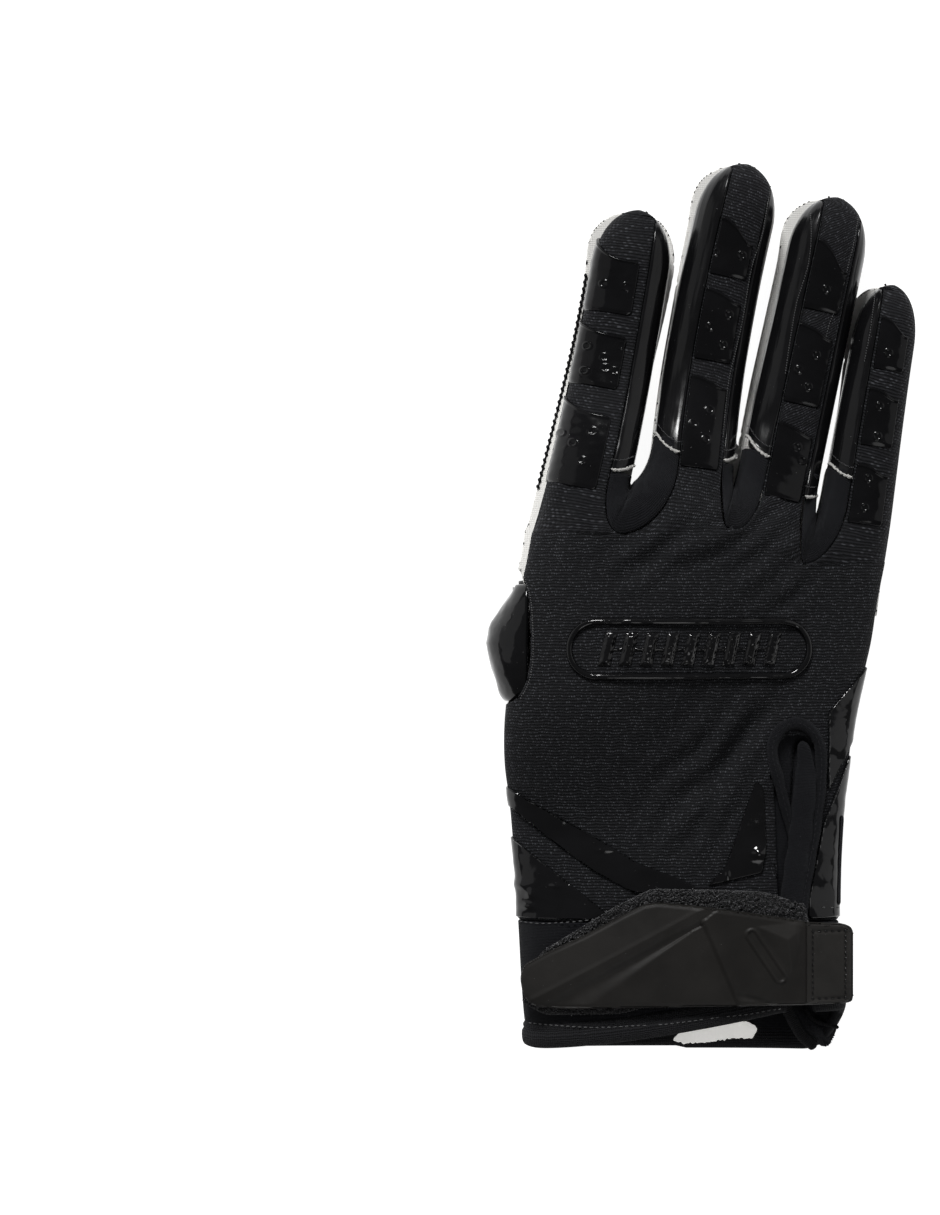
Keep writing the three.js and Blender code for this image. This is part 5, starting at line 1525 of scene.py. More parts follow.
@dataclass
class ThumbSleeve:
    """The thumb: it turns round the hand's edge and lies flat under the palm."""

    form: GloveForm
    base_width: float = 31.0
    wall: float = 1.2
    bulge: tuple = ((-1, -0.75, -0.4, 0, 0.3, 0.6, 0.85, 1), (0.74, 0.8, 0.9, 1, 0.9, 0.66, 0.42, 0.3))

    def build(self, stock: Wardrobe) -> None:
        """Build the sleeve from oval rings: a half turn round the palm's edge, then along the thumb's line."""
        form = self.form
        turn_z = form.thumb_clear + form.stack / 2
        inner = form.stack / 2 + 2 * form.gap
        fold = form.on_hand(-0.421, 0.706)
        spin = np.linspace(0, 2 * math.pi, 64, endpoint=False)[None, :]
        wide, thick = squared(np.cos(spin), form.finger_power), squared(np.sin(spin), form.finger_power)
        t = np.linspace(0, 1, 40, endpoint=False)[:, None]
        bulge = np.interp(wide, *self.bulge)
        outer = lerp(1.0, bulge, np.sin(t * math.pi)) * lerp(turn_z * 1.02, turn_z, t)
        outer = outer + 0.25 * ripple(t * 20 + 0 * wide, wide * 14, 33, 9) * np.sin(t * math.pi)
        r = (inner + outer) / 2 + thick * (outer - inner) / 2
        turned = points3(fold[0] - np.sin(t * math.pi) * r, fold[1] + wide * self.base_width / 2,
                         turn_z + np.cos(t * math.pi) * r)
        u = 1 - (1 - np.linspace(0, 1, 60)[:, None]) ** 1.6
        centre = form.thumb_line(u[:, 0])
        along = unit(np.gradient(np.concatenate([centre, 0 * centre[:, :1]], 1), axis=0))
        cap = np.sqrt(np.clip(1 - smooth(0.62, 1.08, u) ** 2, 0.0004, 1)) * np.where(u > 0.999, 0.5, 1)
        half = lerp(self.base_width, form.thumb_width, smooth(0, 0.55, u)) / 2 * cap
        mid = (turn_z - inner) / 2
        tall = mid * (0.5 + 0.5 * cap)
        under = points3(centre[:, None, 0] - along[:, None, 1] * half * wide,
                        centre[:, None, 1] + along[:, None, 0] * half * wide, mid - thick * tall)
        patch = Patch.of_grid(np.concatenate([turned, under]), wrap=True)
        tip, n = len(patch.points), turned.shape[1]
        ahead = np.array([[along[-1, 0], along[-1, 1], 0.0]])
        patch.points = np.concatenate([patch.points, under[-1].mean(axis=0)[None] + ahead * 0.4])
        patch.normals = np.concatenate([patch.normals, -ahead])
        patch.uv = np.concatenate([patch.uv, patch.uv[-1:]])
        patch.faces += [[tip - n + k, tip - n + (k + 1) % n, tip] for k in range(n)]
        build_piece("thumb_fold", patch.solid(0.0, self.wall, 0.2), stock.band, ("thumb_sleeve",))


@dataclass
class GlossBands:
    """Printed grip that wraps from the palm onto the back."""

    form: GloveForm
    height: float = 0.55
    dent_depth: float = 1.6
    dents: tuple = (
        ((756, 851), (1.9, 1.5), 0.8), ((745, 760), (0.8, 1.6), 0.3), ((761, 772), (0.7, 1.4), 0.35),
        ((725, 872), (0.7, 1.4), 0.3), ((822, 742), (1.0, 1.8), 0.4), ((824, 780), (0.8, 1.4), 0.3),
        ((605, 848), (2.2, 0.6), 0.2), ((560, 812), (2.0, 2.6), 0.25), ((585, 838), (1.6, 2.0), -0.2),
        ((556, 884), (1.6, 0.7), 0.2), ((523, 884), (2.0, 1.4), 0.45), ((532, 893), (1.3, 1.5), 0.4),
        ((529, 905), (1.8, 0.9), 0.35), ((640, 868), (2.4, 1.6), 0.2),
    )
    outlines: dict = field(default_factory=lambda: {
        "left_band": ((-0.52, 0.36), (-0.445, 0.327), (-0.42, 0.312), (-0.226, 0.213), (-0.118, 0.152), (0.03, 0.1),
                      (0.055, 0.077), (-0.13, 0.077), (-0.24, 0.131), (-0.352, 0.206), (-0.52, 0.33)),
        "left_corner": ((-0.52, 0.265), (-0.465, 0.214), (-0.19, 0.016), (-0.22, 0.008), (-0.52, 0.008)),
        "right_band": ((0.075, 0.092), (0.125, 0.14), (0.21, 0.36), (0.23, 0.345), (0.24, 0.2), (0.228, 0.125)),
        "right_wrap": ((0.58, 0.7), (0.535, 0.655), (0.46, 0.58), (0.412, 0.53), (0.412, 0.33), (0.505, 0.495),
                       (0.58, 0.5)),
        "right_corner": ((0.56, 0.43), (0.476, 0.42), (0.4, 0.25), (0.358, 0.06), (0.358, 0.008), (0.56, 0.008)),
    })

    def build(self, stock: Wardrobe, back: BackPanel, ground: Ground) -> None:
        """Build each band as a raised skin that follows the knit, with soft dents where it creases.

        A dent is a bell round its place, and each band has a grid of its own over the part of the hand
        that it covers.

        Args:
            stock: The materials.
            back: The knit, whose creases the bands take over.
            ground: The height map, which is raised to the bands.
        """
        form = self.form
        q, v = np.linspace(-2, 2, 161), np.linspace(0, 0.85, 81)
        coarse = form.hand_point(q[None, :], v[:, None])[..., :2]
        for name, shares in self.outlines.items():
            outline = rounded_outline([form.on_hand(*s) for s in shares], 1.2)
            near = outline_distance(coarse, outline) < 2.0
            across, along = q[near.any(axis=0)], v[near.any(axis=1)]
            rows, columns = np.linspace(along[0], along[-1], 150), np.linspace(across[0], across[-1], 165)
            fine = form.hand_point(columns[None, :], rows[:, None])
            p = back.crease(form.drape(fine))
            band = Patch.trimmed(p, outline_distance(p[..., :2], outline))
            high = np.full(len(band.points), self.height)
            for (x, y), size, depth in self.dents:
                away = (band.points[:, :2] - spots((x, y))[0]) / size
                high = high + self.dent_depth * depth * np.exp(-(away**2).sum(axis=1))
            high = high + 0.05 * ripple(band.points[:, 0], band.points[:, 1], 91, 5)
            solid = band.solid(0.1, high, 0.3)
            build_piece(name + "_print", solid, stock.band, (name,))
            ground.cover(band.moved(high))


@dataclass(frozen=True)
class PadRow:
    """One pad on a finger: its reach along the finger, how far its top slopes, and its rings' places."""

    part: str
    start: float
    end: float
    slope: float
    rings: tuple


@dataclass
class FingerPads:
    """Low printed gel pads on the fingers' backs, each with small rings on it."""

    form: GloveForm
    gel: float = 0.42
    lift: float = 0.08
    ring_radius: float = 0.95
    ring_height: float = 0.22
    ring_width: float = 0.2
    rows_along: int = 104
    edges: dict = field(default_factory=lambda: {
        "index": (0.3, 0.93), "middle": (0.03, 0.82), "ring": (0.03, 0.84), "little": (0.02, 0.27)})
    rows: dict = field(default_factory=lambda: {
        "index": (PadRow("tip", 0.672, 0.9, 5.6, ((604, 285), (625, 288))),
                  PadRow("middle", 0.445, 0.643, 3.0,
                         ((588, 347), (620, 347), (604, 359), (605, 370), (585, 372), (615, 373))),
                  PadRow("base", 0.135, 0.408, 4.0, ((562, 434), (591, 434), (573, 445), (581, 463)))),
        "middle": (PadRow("tip", 0.684, 0.84, 5.5, ((714, 254), (740, 257))),
                   PadRow("middle", 0.454, 0.648, 2.6, ((727, 316), (709, 328), (721, 346))),
                   PadRow("base", 0.16, 0.41, 2.2, ((707, 412), (691, 426), (703, 441)))),
        "ring": (PadRow("tip", 0.67, 0.868, 7.0, ((824, 291),)),
                 PadRow("middle", 0.405, 0.63, 2.6, ((814, 356), (797, 371), (806, 388))),
                 PadRow("base", 0.137, 0.35, 2.2, ((795, 448), (800, 461)))),
        "little": (PadRow("tip", 0.687, 0.876, 4.2, ((886, 354),)),
                   PadRow("middle", 0.414, 0.622, 2.2, ((877, 407), (875, 437))),
                   PadRow("base", 0.137, 0.35, 2.2, ((866, 479), (862, 508)))),
    })

    def tile(self, i: int, start: float, end: Array | float, across: Array) -> Array:
        """Return a grid on a finger's back.

        Args:
            i: Which finger.
            start: Where it starts, as a share of the finger's length.
            end: Where it ends, likewise, for the whole grid or column by column.
            across: Shares of the way from the finger's left seam to its right one.
        """
        length = self.form.reach(FINGERS[i])
        v = np.linspace(0, 1, self.rows_along)[:, None]
        return self.form.drape(self.form.strip_point(i, across, lerp(start, end, v) * length))

    def build(self, stock: Wardrobe) -> None:
        """Build each pad with an S-shaped top edge, rings raised on it, and the index finger's outer edge."""
        u = np.linspace(0, 1, 62)[None, :]
        v = np.linspace(0, 1, self.rows_along)[:, None]
        for i, f in enumerate(FINGERS):
            length = self.form.reach(f)
            low, high = self.edges[f.name]
            for row in self.rows[f.name]:
                squeeze = 0.035 * np.abs(2 * v - 1) ** 20
                across = lerp(low, high, lerp(squeeze, 1 - squeeze, u))
                top = row.end - row.slope / length * smooth(0.08, 0.9, u)
                p = self.tile(i, row.start, top, across)
                w = np.linalg.norm(np.diff(p, axis=1), axis=-1).sum(axis=1).mean()
                h = np.linalg.norm(np.diff(p, axis=0), axis=-1).sum(axis=0).mean()
                rim = 0.3 * bell((1 - v) * h - 0.5, 0.36) - 0.3 * smooth(1.6, 0.0, v * h)
                high_a = self.lift + self.gel + rim + 0.03 * ripple(u * w, v * h, 60 + i, 4)
                for place in spots(*row.rings):
                    away = np.hypot(p[..., 0] - place[0], p[..., 1] - place[1])
                    high_a = high_a + self.ring_height * bell(away - self.ring_radius, self.ring_width)
                    high_a = high_a - 0.1 * bell(away, 0.5)
                name = f"{f.name}_{row.part}_pad"
                pad = Patch.of_grid(p).solid(self.lift * 0.3, high_a.ravel(), 0.3)
                build_piece(name + "_gel", pad, stock.gel, (name,))
        p = self.tile(0, 0.135, 0.9 - 0.012 * u, lerp(0.12, 0.36, u) + 0.02 * np.sin(v * 25))
        outer = Patch.of_grid(p).solid(0.03, self.lift + self.gel * 0.72, 0.25)
        build_piece("index_outer_gel", outer, stock.gel)


@dataclass
class Badge:
    """The raised rim on the back of the hand, with plain bars where a name would be."""

    form: GloveForm
    length: float = 65.0
    width: float = 16.0
    rim: float = 1.7
    height: float = 1.0
    bars: int = 9

    def beyond_rim(self, x: Array, y: Array) -> Array:
        """Return the distance from the stadium outline, from places measured from its middle."""
        return np.hypot(np.maximum(np.abs(x) - (self.length - self.width) / 2, 0), y) - self.width / 2

    def build(self, stock: Wardrobe, back: BackPanel) -> None:
        """Build the rim as the band between two stadium outlines, and the bars as short slanted tiles.

        The rim's crown is half a circle across it; the bars repeat along the badge, joined by a spine.

        Args:
            stock: The materials.
            back: The knit, whose creases the badge takes over.
        """
        form, centre = self.form, self.form.on_hand(0.025, 0.692)
        x, y = np.meshgrid(np.arange(-36, 36, 0.24), np.arange(-11, 11, 0.24))
        px, py = x + centre[0], y + centre[1]
        p = back.crease(form.drape(points3(px, py, form.back_z(px, py))))
        away = self.beyond_rim(x, y)
        rim = Patch.trimmed(p, np.maximum(away, -away - self.rim))
        middle = self.beyond_rim(*(rim.points[:, k] - centre[k] for k in (0, 1))) + self.rim / 2
        crown = self.height * np.sqrt(np.clip(1 - (middle / (self.rim * 0.55)) ** 2, 0.02, 1))
        build_piece("badge_rim_print", rim.solid(0.05, 0.1 + crown, 0.12), stock.band, ("badge_rim",))
        step = (self.length - self.width) / self.bars
        lean = x - 0.22 * y
        phase = (lean + self.bars * step / 2) / step
        local = (phase - np.floor(phase) - 0.5) * step
        bar = np.maximum(np.abs(local) - step * 0.3, np.abs(y) - self.width * 0.27)
        bar = np.where((phase > 0) & (phase < self.bars), bar, 1.0)
        spine = np.maximum(np.abs(y) - 0.35, np.abs(lean) - step * (self.bars - 1) / 2)
        shape = np.minimum(bar, spine)
        crest = 0.3 + 0.75 * self.height * smooth(0.0, -1.15, shape) + 0.1 * ripple(px, py, 77, 1.6)
        tiles = Patch.trimmed(p + points3(0 * x, 0 * x, crest), shape)
        build_piece("badge_bars_print", tiles.solid(-1.1, 0.0, 0.1), stock.band, ("badge_bars",))


@dataclass
class Cuff:
    """The cuff ring, open at its slit, with its rolled hem and the blank label inside."""

    form: GloveForm
    wall: float = 1.8
    hem_height: float = 5.3
    hem_thickness: float = 3.2
    hem_power: float = 2.6
    tag: Array = field(default_factory=lambda: spots(
        (674, 1043), (683, 1033), (702, 1026), (724, 1024), (747, 1024), (760, 1031), (755, 1042), (736, 1041),
        (712, 1045), (686, 1047)))
    flap: Array = field(default_factory=lambda: spots(
        (784, 1003), (792, 1021), (806, 1041), (826, 1052), (836, 1046), (841, 1030), (842, 1005)))

    def point(self, q: Array, t: Array) -> Array:
        """Return points of the cuff: the hand's super-ellipse above, a flatter one below.

        Args:
            q: Section places, as GloveForm.section takes them.
            t: Shares of the way from the wrist seam to the hem.
        """
        form = self.form
        side, low = np.sign(q), np.abs(q) - 1
        share, _ = form.section(np.clip(q, -1, 1), form.hand_power, form.knuckle / 2)
        back = lerp(0.955, 0.63, np.clip((share + 1) / 1.6, 0, 1) ** 1.5)
        drop = form.cuff_length * lerp(back, 1.0, smooth(0.9, 1.5, np.abs(q)))
        y = lerp(form.wrist_y - form.gap / 2, form.wrist_y - drop, t)
        cx, half, height = form.body(y)
        across, up = form.section(np.clip(q, -1, 1), form.hand_power, form.knuckle / 2)
        x = cx + across * half
        bulge = 2.7 * bell(x - 19, 15) * smooth(1.1, 1.6, np.abs(q)) - 1.2 * bell(x + 42, 3.0)
        y = y - bulge * t**3
        z = form.section_z(up, height)
        turn = np.clip(low, 0, 1) * math.pi / 2
        down = np.sin(turn) ** (2 / form.hand_power)
        floor = (self.hem_thickness - self.wall) / 2
        below = low > 0
        across = np.where(below, side * np.clip(np.cos(turn), 0, 1) ** (2 / form.hand_power), across)
        z = np.where(below, lerp(form.section_z(np.zeros_like(z), height), floor, down), z)
        return points3(cx + across * half, y, z)

    def opened(self, q: Array, t: Array) -> Array:
        """Return section places with the slit widened towards the hem.

        Args:
            q: Section places.
            t: Shares of the way from the wrist seam to the hem.
        """
        left = float(self.form.seam_q(0.605, self.form.hand_power))
        grow = np.where(q > left, 0.14, 0.02) * t * smooth(1, 0.6, q)
        return np.where((q > 0) & (q < 1), q + grow, q)

    def turns(self, count: int) -> Array:
        """Return section places from the slit's left edge round under the wrist to its right edge."""
        left, right = (float(self.form.seam_q(s, self.form.hand_power)) for s in (0.605, 0.68))
        total = (left + 2) + (2 - right)
        run = np.linspace(0, total, count)
        return np.where(run <= left + 2, left - run, 2 - (run - left - 2))

    def build(self, stock: Wardrobe, ground: Ground) -> None:
        """Build the ring, the hem, the label and the folded flap.

        Args:
            stock: The materials.
            ground: The height map, which is raised to the ring and the hem.
        """
        form = self.form
        end = 1 - (self.hem_height + form.gap) / form.cuff_length
        q = self.turns(260)[None, :]
        t = np.linspace(0, 1, 60)[:, None]
        p = self.point(self.opened(q, t), t * end)
        p[..., 2] += 0.25 * ripple(p[..., 0], p[..., 1], 71, 16) * (p[..., 2] > 8)
        u = np.broadcast_to(np.linspace(0, 230, 260)[None, :], p.shape[:2])
        shell = Patch.of_grid(p, np.stack([u, p[..., 1]], -1)).solid(-self.wall, 0.0, 0.3)
        build_piece("cuff_ring", shell, stock.jersey, ("cuff",))
        line = self.point(self.opened(q, 1.0), np.full_like(q, end))[0]
        ahead = np.gradient(line, axis=0) * (1, 0, 1)
        out = unit(np.stack([ahead[:, 2], 0 * ahead[:, 1], -ahead[:, 0]], 1))

        def ring(turn: Array) -> Array:
            """A flattened oval below the cuff's edge, with a sewn valley on each face."""
            c, s = squared(np.cos(turn), self.hem_power), squared(np.sin(turn), self.hem_power)
            thick = self.hem_thickness / 2 * s * (1 - 0.3 * bell(c + 0.45, 0.16))
            shape = line[:, None, :] + out[:, None, :] * (0.35 - self.wall / 2 + thick)[..., None]
            shape[..., 1] += 1.9 - (self.hem_height + 1.3) / 2 * (1 + c)
            shape[..., 2] = np.maximum(shape[..., 2], 0.0)
            return shape

        hem = tube_patch(line, ring, 26)
        build_piece("hem_roll", hem, stock.webbing, ("cuff_hem",))
        self.label(stock)
        self.fold(stock)
        ground.cover(Patch.of_grid(p), hem)

    def label(self, stock: Wardrobe) -> None:
        """Build the blank label: a small sheet with a torn upper edge, lying on the palm side of the cuff."""
        x, y = np.meshgrid(np.arange(-4, 24, 0.2), np.arange(-60, -48, 0.2))
        torn = 0.22 * ripple(x, 0 * x, 82, 1.6) + 0.12 * ripple(x, y, 83, 0.7)
        cut = outline_distance(np.stack([x, y + torn], -1), rounded_outline(self.tag, 0.8))
        z = self.hem_thickness + 1.2 + 0.9 * np.cos((x - 9) / 7) + 0.15 * ripple(x, y, 81, 6)
        sheet = Patch.trimmed(points3(x, y, z), cut)
        build_piece("blank_label", sheet.solid(0.0, 0.5, 0.12), stock.label, ("wrist_label",))

    def fold(self, stock: Wardrobe) -> None:
        """Build the cuff's right flap, which folds inwards over the slit, with its bound edge."""
        x, y = np.meshgrid(np.arange(24, 46, 0.3), np.arange(-60, -42, 0.3))
        plan = np.stack([x, y], -1)
        across = beyond(plan, *spots((785, 1006), (827, 1052)))
        z = 7.0 + 2.2 * bell(across - 1.2, 1.6) - 0.25 * np.abs(across) + 0.2 * ripple(x, y, 84, 6)
        z = z - 3.0 * smooth(-52, -58, y)
        flap = Patch.trimmed(points3(x, y, z), outline_distance(plan, rounded_outline(self.flap, 2.0)))
        build_piece("cuff_fold", flap.solid(-1.4, 0.0, 0.5), stock.jersey)
        edge = smooth_path(spots((785, 1004), (793, 1020), (804, 1038), (818, 1050)), 60)
        z = np.linspace(9.6, 6.6, len(edge))
        bound = rope(points3(edge[:, 0], edge[:, 1], z), 1.5, 0.9, 14, 1.0)
        inner = smooth_path(spots((806, 1010), (817, 1023), (841, 1030)), 40)
        seam = rope(points3(inner[:, 0], inner[:, 1], np.linspace(7.6, 7.0, len(inner))), 0.5, 0.45, 8, 0.4)
        build_piece("cuff_fold_edge", Patch.welded(bound, seam), stock.webbing)


@dataclass
class Closure:
    """The fuzzy loop pad on the cuff and the moulded pull strap over it."""

    form: GloveForm
    length: float = 87.0
    thickness: float = 2.0
    loop_height: float = 1.2
    curls: int = 1900
    pad: Array = field(default_factory=lambda: spots(
        (545, 1012), (620, 1010), (742, 975), (808, 935), (803, 902), (760, 889), (700, 887), (650, 886),
        (612, 905), (540, 950), (521, 1000)))
    outline: Array = field(default_factory=lambda: spots(
        (520, 974), (524, 962), (549, 948), (583, 932), (618, 913), (642, 901), (656, 899), (689, 902), (736, 908),
        (783, 915), (804, 919), (840, 921), (849, 926), (849, 997), (845, 1000), (804, 1001), (760, 1001),
        (642, 1003), (559, 1005), (535, 1003), (524, 993)))
    sewn: tuple = ((809.2, 928.0), (842.5, 994.6))

    def sheet(self, x: Array, y: Array, base: float) -> Array:
        """Return the strap's resting surface: the cuff's crown height less a cubic droop to both ends.

        Args:
            x: Places across the hand.
            y: Places along it.
            base: Height over the cuff.
        """
        form = self.form
        cx = form.body(form.wrist_y)[0]
        droop = form.hand_height * 0.27 * np.abs((x - cx) / (self.length / 2)) ** 3
        return points3(x, y, form.section_z(np.ones_like(x), form.hand_height) + base - droop)

    def build(self, stock: Wardrobe, ground: Ground) -> None:
        """Build the pile pad with its loops of thread, then the strap and its sewn end.

        Args:
            stock: The materials.
            ground: The height map, which is raised to the strap and the end block.
        """
        gap = self.form.gap
        x, y = np.meshgrid(np.arange(-46, 50, 0.31), np.arange(-50, -14, 0.31))
        plan = np.stack([x, y], -1)
        fuzz = Patch.trimmed(self.sheet(x, y, gap), outline_distance(plan, rounded_outline(self.pad, 2.0)))
        pile = self.loop_height * 0.7 + 0.2 * ripple(fuzz.points[:, 0], fuzz.points[:, 1], 9, 1.1)
        body = fuzz.solid(0.0, pile, 0.1)
        rng = np.random.default_rng(9)
        spots_at = rng.uniform((-44, -49), (36, -14), (self.curls * 6, 2))
        bare = outline_distance(spots_at, self.outline) > -1.2
        kept = spots_at[bare & (outline_distance(spots_at, self.pad) < -0.2)][: self.curls]
        turn = rng.uniform(0, 2 * math.pi, len(kept))
        size = rng.uniform(0.55, 1.15, (len(kept), 1)) * np.array([[0.9, 0.9, 0.75]])
        place = self.sheet(kept[:, 0], kept[:, 1], gap + self.loop_height * 0.6)
        loops = repeated(curl(), place, np.stack([np.cos(turn), np.sin(turn), 0.3 * np.sin(3 * turn)], 1), size)
        build_piece("loop_pile", body, stock.fuzz, ("loop_pad",))
        build_piece("loop_threads", loops, stock.fuzz)
        distance = outline_distance(plan, rounded_outline(self.outline, 1.6))
        strap = Patch.trimmed(self.sheet(x, y, 2 * gap + self.loop_height), distance)
        top = strap.points[:, :2]
        high = self.thickness + 1.5 * self.relief(top, outline_distance(top, self.outline))
        build_piece("pull_strap", strap.solid(0.0, high, 0.4), stock.strap, ("strap",))
        ground.cover(strap.moved(high))
        (left, top), (right, low) = spots(*self.sewn)
        end = np.maximum(distance + 0.45, left - 1.9 - plan[..., 0])
        block = Patch.trimmed(self.sheet(x, y, 2 * gap + self.loop_height + self.thickness), end)
        inner = np.maximum(np.abs(block.points[:, 0] - (left + right) / 2) - (right - left) / 2,
                           np.abs(block.points[:, 1] - (top + low) / 2) - (top - low) / 2)
        puff = 0.42 - 0.3 * bell(inner, 0.45)
        build_piece("strap_end_block", block.solid(0.0, puff, 0.25), stock.strap_end)
        ground.cover(block.moved(puff))
        corners = ((left, top), (right, top), (right, low), (left, low), (left, top))
        lines = [ground.lay(np.linspace(a, b, 60), 0.1) for a, b in zip(corners, corners[1:])]
        rows = [stitch_row(line, 1.35, 1.0, 0.42) for line in lines]
        build_piece("strap_stitches", Patch.welded(*rows), stock.band)

    def relief(self, plan: Array, distance: Array) -> Array:
        """Return the strap's relief: an outer facet, a railed groove, a flat triangle, a band, a star and an oval.

        Each facet is a straight ramp in the distance from its own edge line. The relief fades out before
        the sewn end, which is a piece of its own.

        Args:
            plan: Places on the plan.
            distance: Their distance from the strap's outline.
        """
        def line(a: tuple[float, float], b: tuple[float, float]) -> Array:
            """Return the distance from the line through two places of the photograph."""
            return beyond(plan, *spots(a, b))

        rail, groove, slope = line((541, 987), (679, 912)), line((560, 998), (695, 924)), line((591, 1002), (700, 919))
        ramp = np.interp(-rail, (-7, 0, 1.2, 3.2, 4.7, 5.3), (-0.7, 0.0, 0.2, -0.05, -0.5, -0.55))
        inside = np.clip(-groove, 0.01, None) / (np.clip(-groove, 0.01, None) + np.clip(slope, 0.01, None))
        wedge = -0.5 * (1 - smooth(0, 1, inside))
        out = np.where(groove > 0, ramp, np.where(slope > 0, wedge, 0.0))
        edge, far = line((700, 919), (734, 998)), line((732, 913), (790, 980))
        band = np.interp(edge, (-0.5, 0.5, 3.0, 9.0), (0.0, 0.42, 0.25, 0.0))
        out = np.where((edge > -0.5) & (slope < 0.4), band, out)
        out = np.where((edge > -0.5) & (slope >= 0.4), np.maximum(out, 0), out)
        star = plan - spots((783, 936))[0]
        falls = np.max([star @ np.array(d) for d in ((-0.1, 1.0), (0.93, -0.36), (-0.8, -0.6))], axis=0)
        out = np.where(far > 0, np.maximum(out * smooth(3, 0, far), np.clip(0.9 - 0.2 * falls, 0, None)), out)
        cut = bell(line((733, 990), (766, 999)), 0.8) * smooth(2.0, 0.0, np.abs(plan[:, 0] - 19) - 3)
        out = out - 0.35 * cut
        oval = path_distance(plan, spots((748, 931), (776, 973))) - 1.35
        out = out + 0.34 * bell(oval, 0.34)
        out = out * smooth(0.5, 3.0, spots(self.sewn[0])[0, 0] - 2.0 - plan[:, 0])
        return out - 0.12 * smooth(-1.1, -0.6, distance)


@dataclass
class Trims:
    """Fine things laid on the surface: seam threads, the cut white edges in the crotches, and rows of stitches."""

    seams: tuple = (
        ((771, 186), (766, 210), (761, 237), (751, 268), (746, 296), (741, 325), (734, 355), (727, 386), (721, 438)),
        ((858, 216), (854, 238), (848, 262), (843, 282), (838, 300), (828, 325), (822, 350)),
        ((810, 214), (810, 238), (807, 265), (801, 286), (795, 306), (789, 340), (784, 374)),
        ((876, 289), (872, 311), (868, 336), (863, 362)),
        ((524, 578), (530, 600), (532, 630), (532, 658), (528, 681), (520, 697)),
    )
    dashes: tuple = (
        ((530, 1022), (560, 1023), (594, 1024), (630, 1022), (665, 1020), (712, 1014), (748, 1010), (776, 1005)),
        ((521, 921), (540, 922), (566, 920), (592, 917)),
        ((822, 906), (838, 907)),
    )
    tab: tuple = ((842, 815), (840, 860), (839, 905))

    def build(self, stock: Wardrobe, ground: Ground, cuts: Sequence[Array]) -> None:
        """Lay every trim on the ground map, and the cut edges along the strips' lower ends.

        Args:
            stock: The materials.
            ground: The height map that the trims are laid on.
            cuts: The lower edges of the side strips.
        """
        rows = [stitch_row(ground.lay(smooth_path(spots(*p), 200), 0.16), 0.66, 0.46, 0.28, 0.5) for p in self.seams]
        build_piece("finger_seam_threads", Patch.welded(*rows), stock.seam)
        rng = np.random.default_rng(21)
        edges, hairs, upper = [], [], []
        for cut in cuts:
            line = smooth_path(cut, 60) + (0, 0, 0.15)
            t = np.linspace(0, 30, 60)
            line[:, :2] += 0.12 * np.stack([ripple(t, t, 5, 4), ripple(t, t, 6, 4)], 1)
            edges.append(rope(line, 0.34 * (1 + 0.4 * ripple(t, t * 0, 7, 3)), 0.36, 8, 0.4))
            places = line[rng.integers(2, 58, 26)] + rng.normal(0, 0.12, (26, 3))
            turn = rng.uniform(-2.6, -0.5, 26)
            size = rng.uniform(0.5, 1.2, (26, 1)) * np.array([[1.0, 0.12, 0.12]])
            ahead = np.stack([np.cos(turn), np.sin(turn), np.full(26, 0.2)], 1)
            hairs.append(repeated(bead(), places, ahead, size))
            upper.append(stitch_row(line + (0.2, 2.6, 0.1), 0.42, 0.35, 0.2, 0.9))
        build_piece("crotch_cut_edges", Patch.welded(*edges, *hairs), stock.fray)
        build_piece("crotch_seam_threads", Patch.welded(*upper), stock.seam)
        rows = [stitch_row(ground.lay(smooth_path(spots(*p), 200), 0.12), 1.5, 1.0, 0.3) for p in self.dashes]
        tab = rope(ground.lay(smooth_path(spots(*self.tab), 40), 0.3, 4), 0.4, 0.5, 8)
        build_piece("edge_stitches", Patch.welded(*rows), stock.seam)
        build_piece("edge_tab", tab, stock.thread)


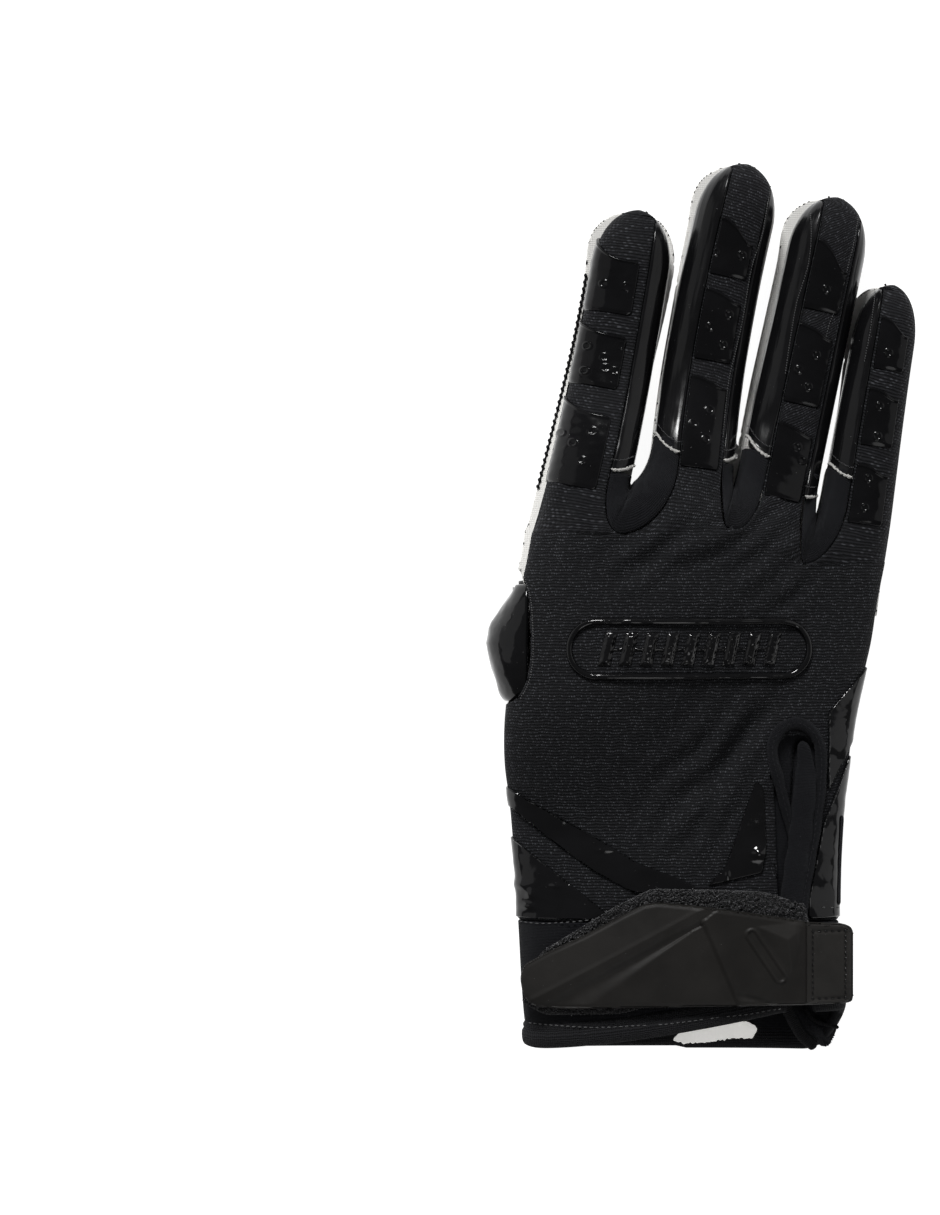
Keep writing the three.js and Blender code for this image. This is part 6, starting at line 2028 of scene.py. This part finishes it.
@dataclass
class Studio:
    """Pale floor, soft lights and the camera straight above the glove.

    A lamp's row holds its name, its bearing and rise in degrees, its strength, and how wide it looks.
    """

    centre_px: tuple[float, float] = (470.0, 607.5)
    image_height: float = 1215.0
    lens: float = 100.0
    sensor: float = 36.0
    plane: float = 12.0
    floor_half: float = 6.0
    floor_glow: float = 0.93
    low_glow: float = 0.35
    high_glow: float = 0.12
    lamps: tuple = (
        ("far window", 104, 34, 3.6, 15), ("near window", -70, 48, 0.55, 30),
        ("left fill", 168, 24, 0.25, 50), ("right fill", 12, 24, 0.35, 50),
    )

    def camera(self) -> None:
        """Place the camera over the photograph's centre, so far up that its height covers the view."""
        data = bpy.data.cameras.new("view")
        data.lens, data.sensor_width, data.sensor_fit = self.lens, self.sensor, "AUTO"
        x, y = spots(self.centre_px)[0]
        away = self.image_height * PICTURE_SCALE * self.lens / self.sensor
        camera = bpy.data.objects.new("view", data)
        camera.location = (x * MM, y * MM, (self.plane + away) * MM)
        bpy.context.scene.collection.objects.link(camera)
        bpy.context.scene.camera = camera

    def floor(self) -> None:
        """Lay a large pale floor that glows softly, as a light table does."""
        material = bpy.data.materials.new("pale floor")
        material.use_nodes = True
        NodeKit(material.node_tree).fill(material.node_tree.nodes["Principled BSDF"], {
            "Base Color": (0.35, 0.35, 0.35, 1), "Roughness": 0.9, "Specular IOR Level": 0.1,
            "Emission Color": (1, 1, 1, 1), "Emission Strength": self.floor_glow})
        mesh = bpy.data.meshes.new("floor")
        half = self.floor_half
        mesh.from_pydata([(-half, -half, 0), (half, -half, 0), (half, half, 0), (-half, half, 0)], [], [(0, 1, 2, 3)])
        mesh.materials.append(material)
        floor = bpy.data.objects.new("floor", mesh)
        bpy.context.scene.collection.objects.link(floor)

    def lamp(self, name: str, turn: float, rise: float, strength: float, spread: float) -> None:
        """Set one soft far light.

        Args:
            name: The light's name.
            turn: Where it comes from, in degrees on the plan from +X towards +Y.
            rise: How high it stands, in degrees.
            strength: Light on a surface that faces it.
            spread: How wide it looks, in degrees.
        """
        data = bpy.data.lights.new(name, "SUN")
        data.energy, data.angle = strength, math.radians(spread)
        lamp = bpy.data.objects.new(name, data)
        a, e = math.radians(turn), math.radians(rise)
        toward = Vector((-math.cos(e) * math.cos(a), -math.cos(e) * math.sin(a), -math.sin(e)))
        lamp.rotation_euler = toward.to_track_quat("-Z", "Y").to_euler()
        bpy.context.scene.collection.objects.link(lamp)

    def sky(self) -> None:
        """Surround the glove with a room that is pale at the level of the table and dark overhead."""
        world = bpy.data.worlds.new("studio")
        bpy.context.scene.world = world
        world.use_nodes = True
        kit = NodeKit(world.node_tree)
        height = kit.node("ShaderNodeSeparateXYZ", {0: kit.node("ShaderNodeTexCoord").outputs["Generated"]}).outputs[2]
        glow = kit.ramp(height, 0.0, 0.12, self.low_glow, self.high_glow)
        kit.fill(world.node_tree.nodes["Background"], {0: (1, 1, 1, 1), 1: glow})

    def build(self) -> None:
        """Set the camera, floor, lights and the pale surroundings."""
        self.camera()
        self.floor()
        for lamp in self.lamps:
            self.lamp(*lamp)
        self.sky()
        bpy.context.scene.view_settings.view_transform = "Standard"


def main() -> None:
    """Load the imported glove, dress it piece by piece, and light it."""
    logging.basicConfig(level=logging.INFO, format="%(name)s: %(message)s")
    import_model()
    form = GloveForm()
    Studio().build()
    stock = Wardrobe.stocked()
    back, vent, ground = BackPanel(form), Vent(form), Ground()
    back.build(stock, vent, ground)
    sides = FingerSides(form)
    ground.cover(*sides.build(stock))
    PalmSheets(form).build(stock, back)
    ThumbSleeve(form).build(stock)
    GlossBands(form).build(stock, back, ground)
    FingerPads(form).build(stock)
    Badge(form).build(stock, back)
    vent.build(stock, ground)
    Cuff(form).build(stock, ground)
    Closure(form).build(stock, ground)
    Trims().build(stock, ground, sides.cuts)


if __name__ == "__main__":
    main()
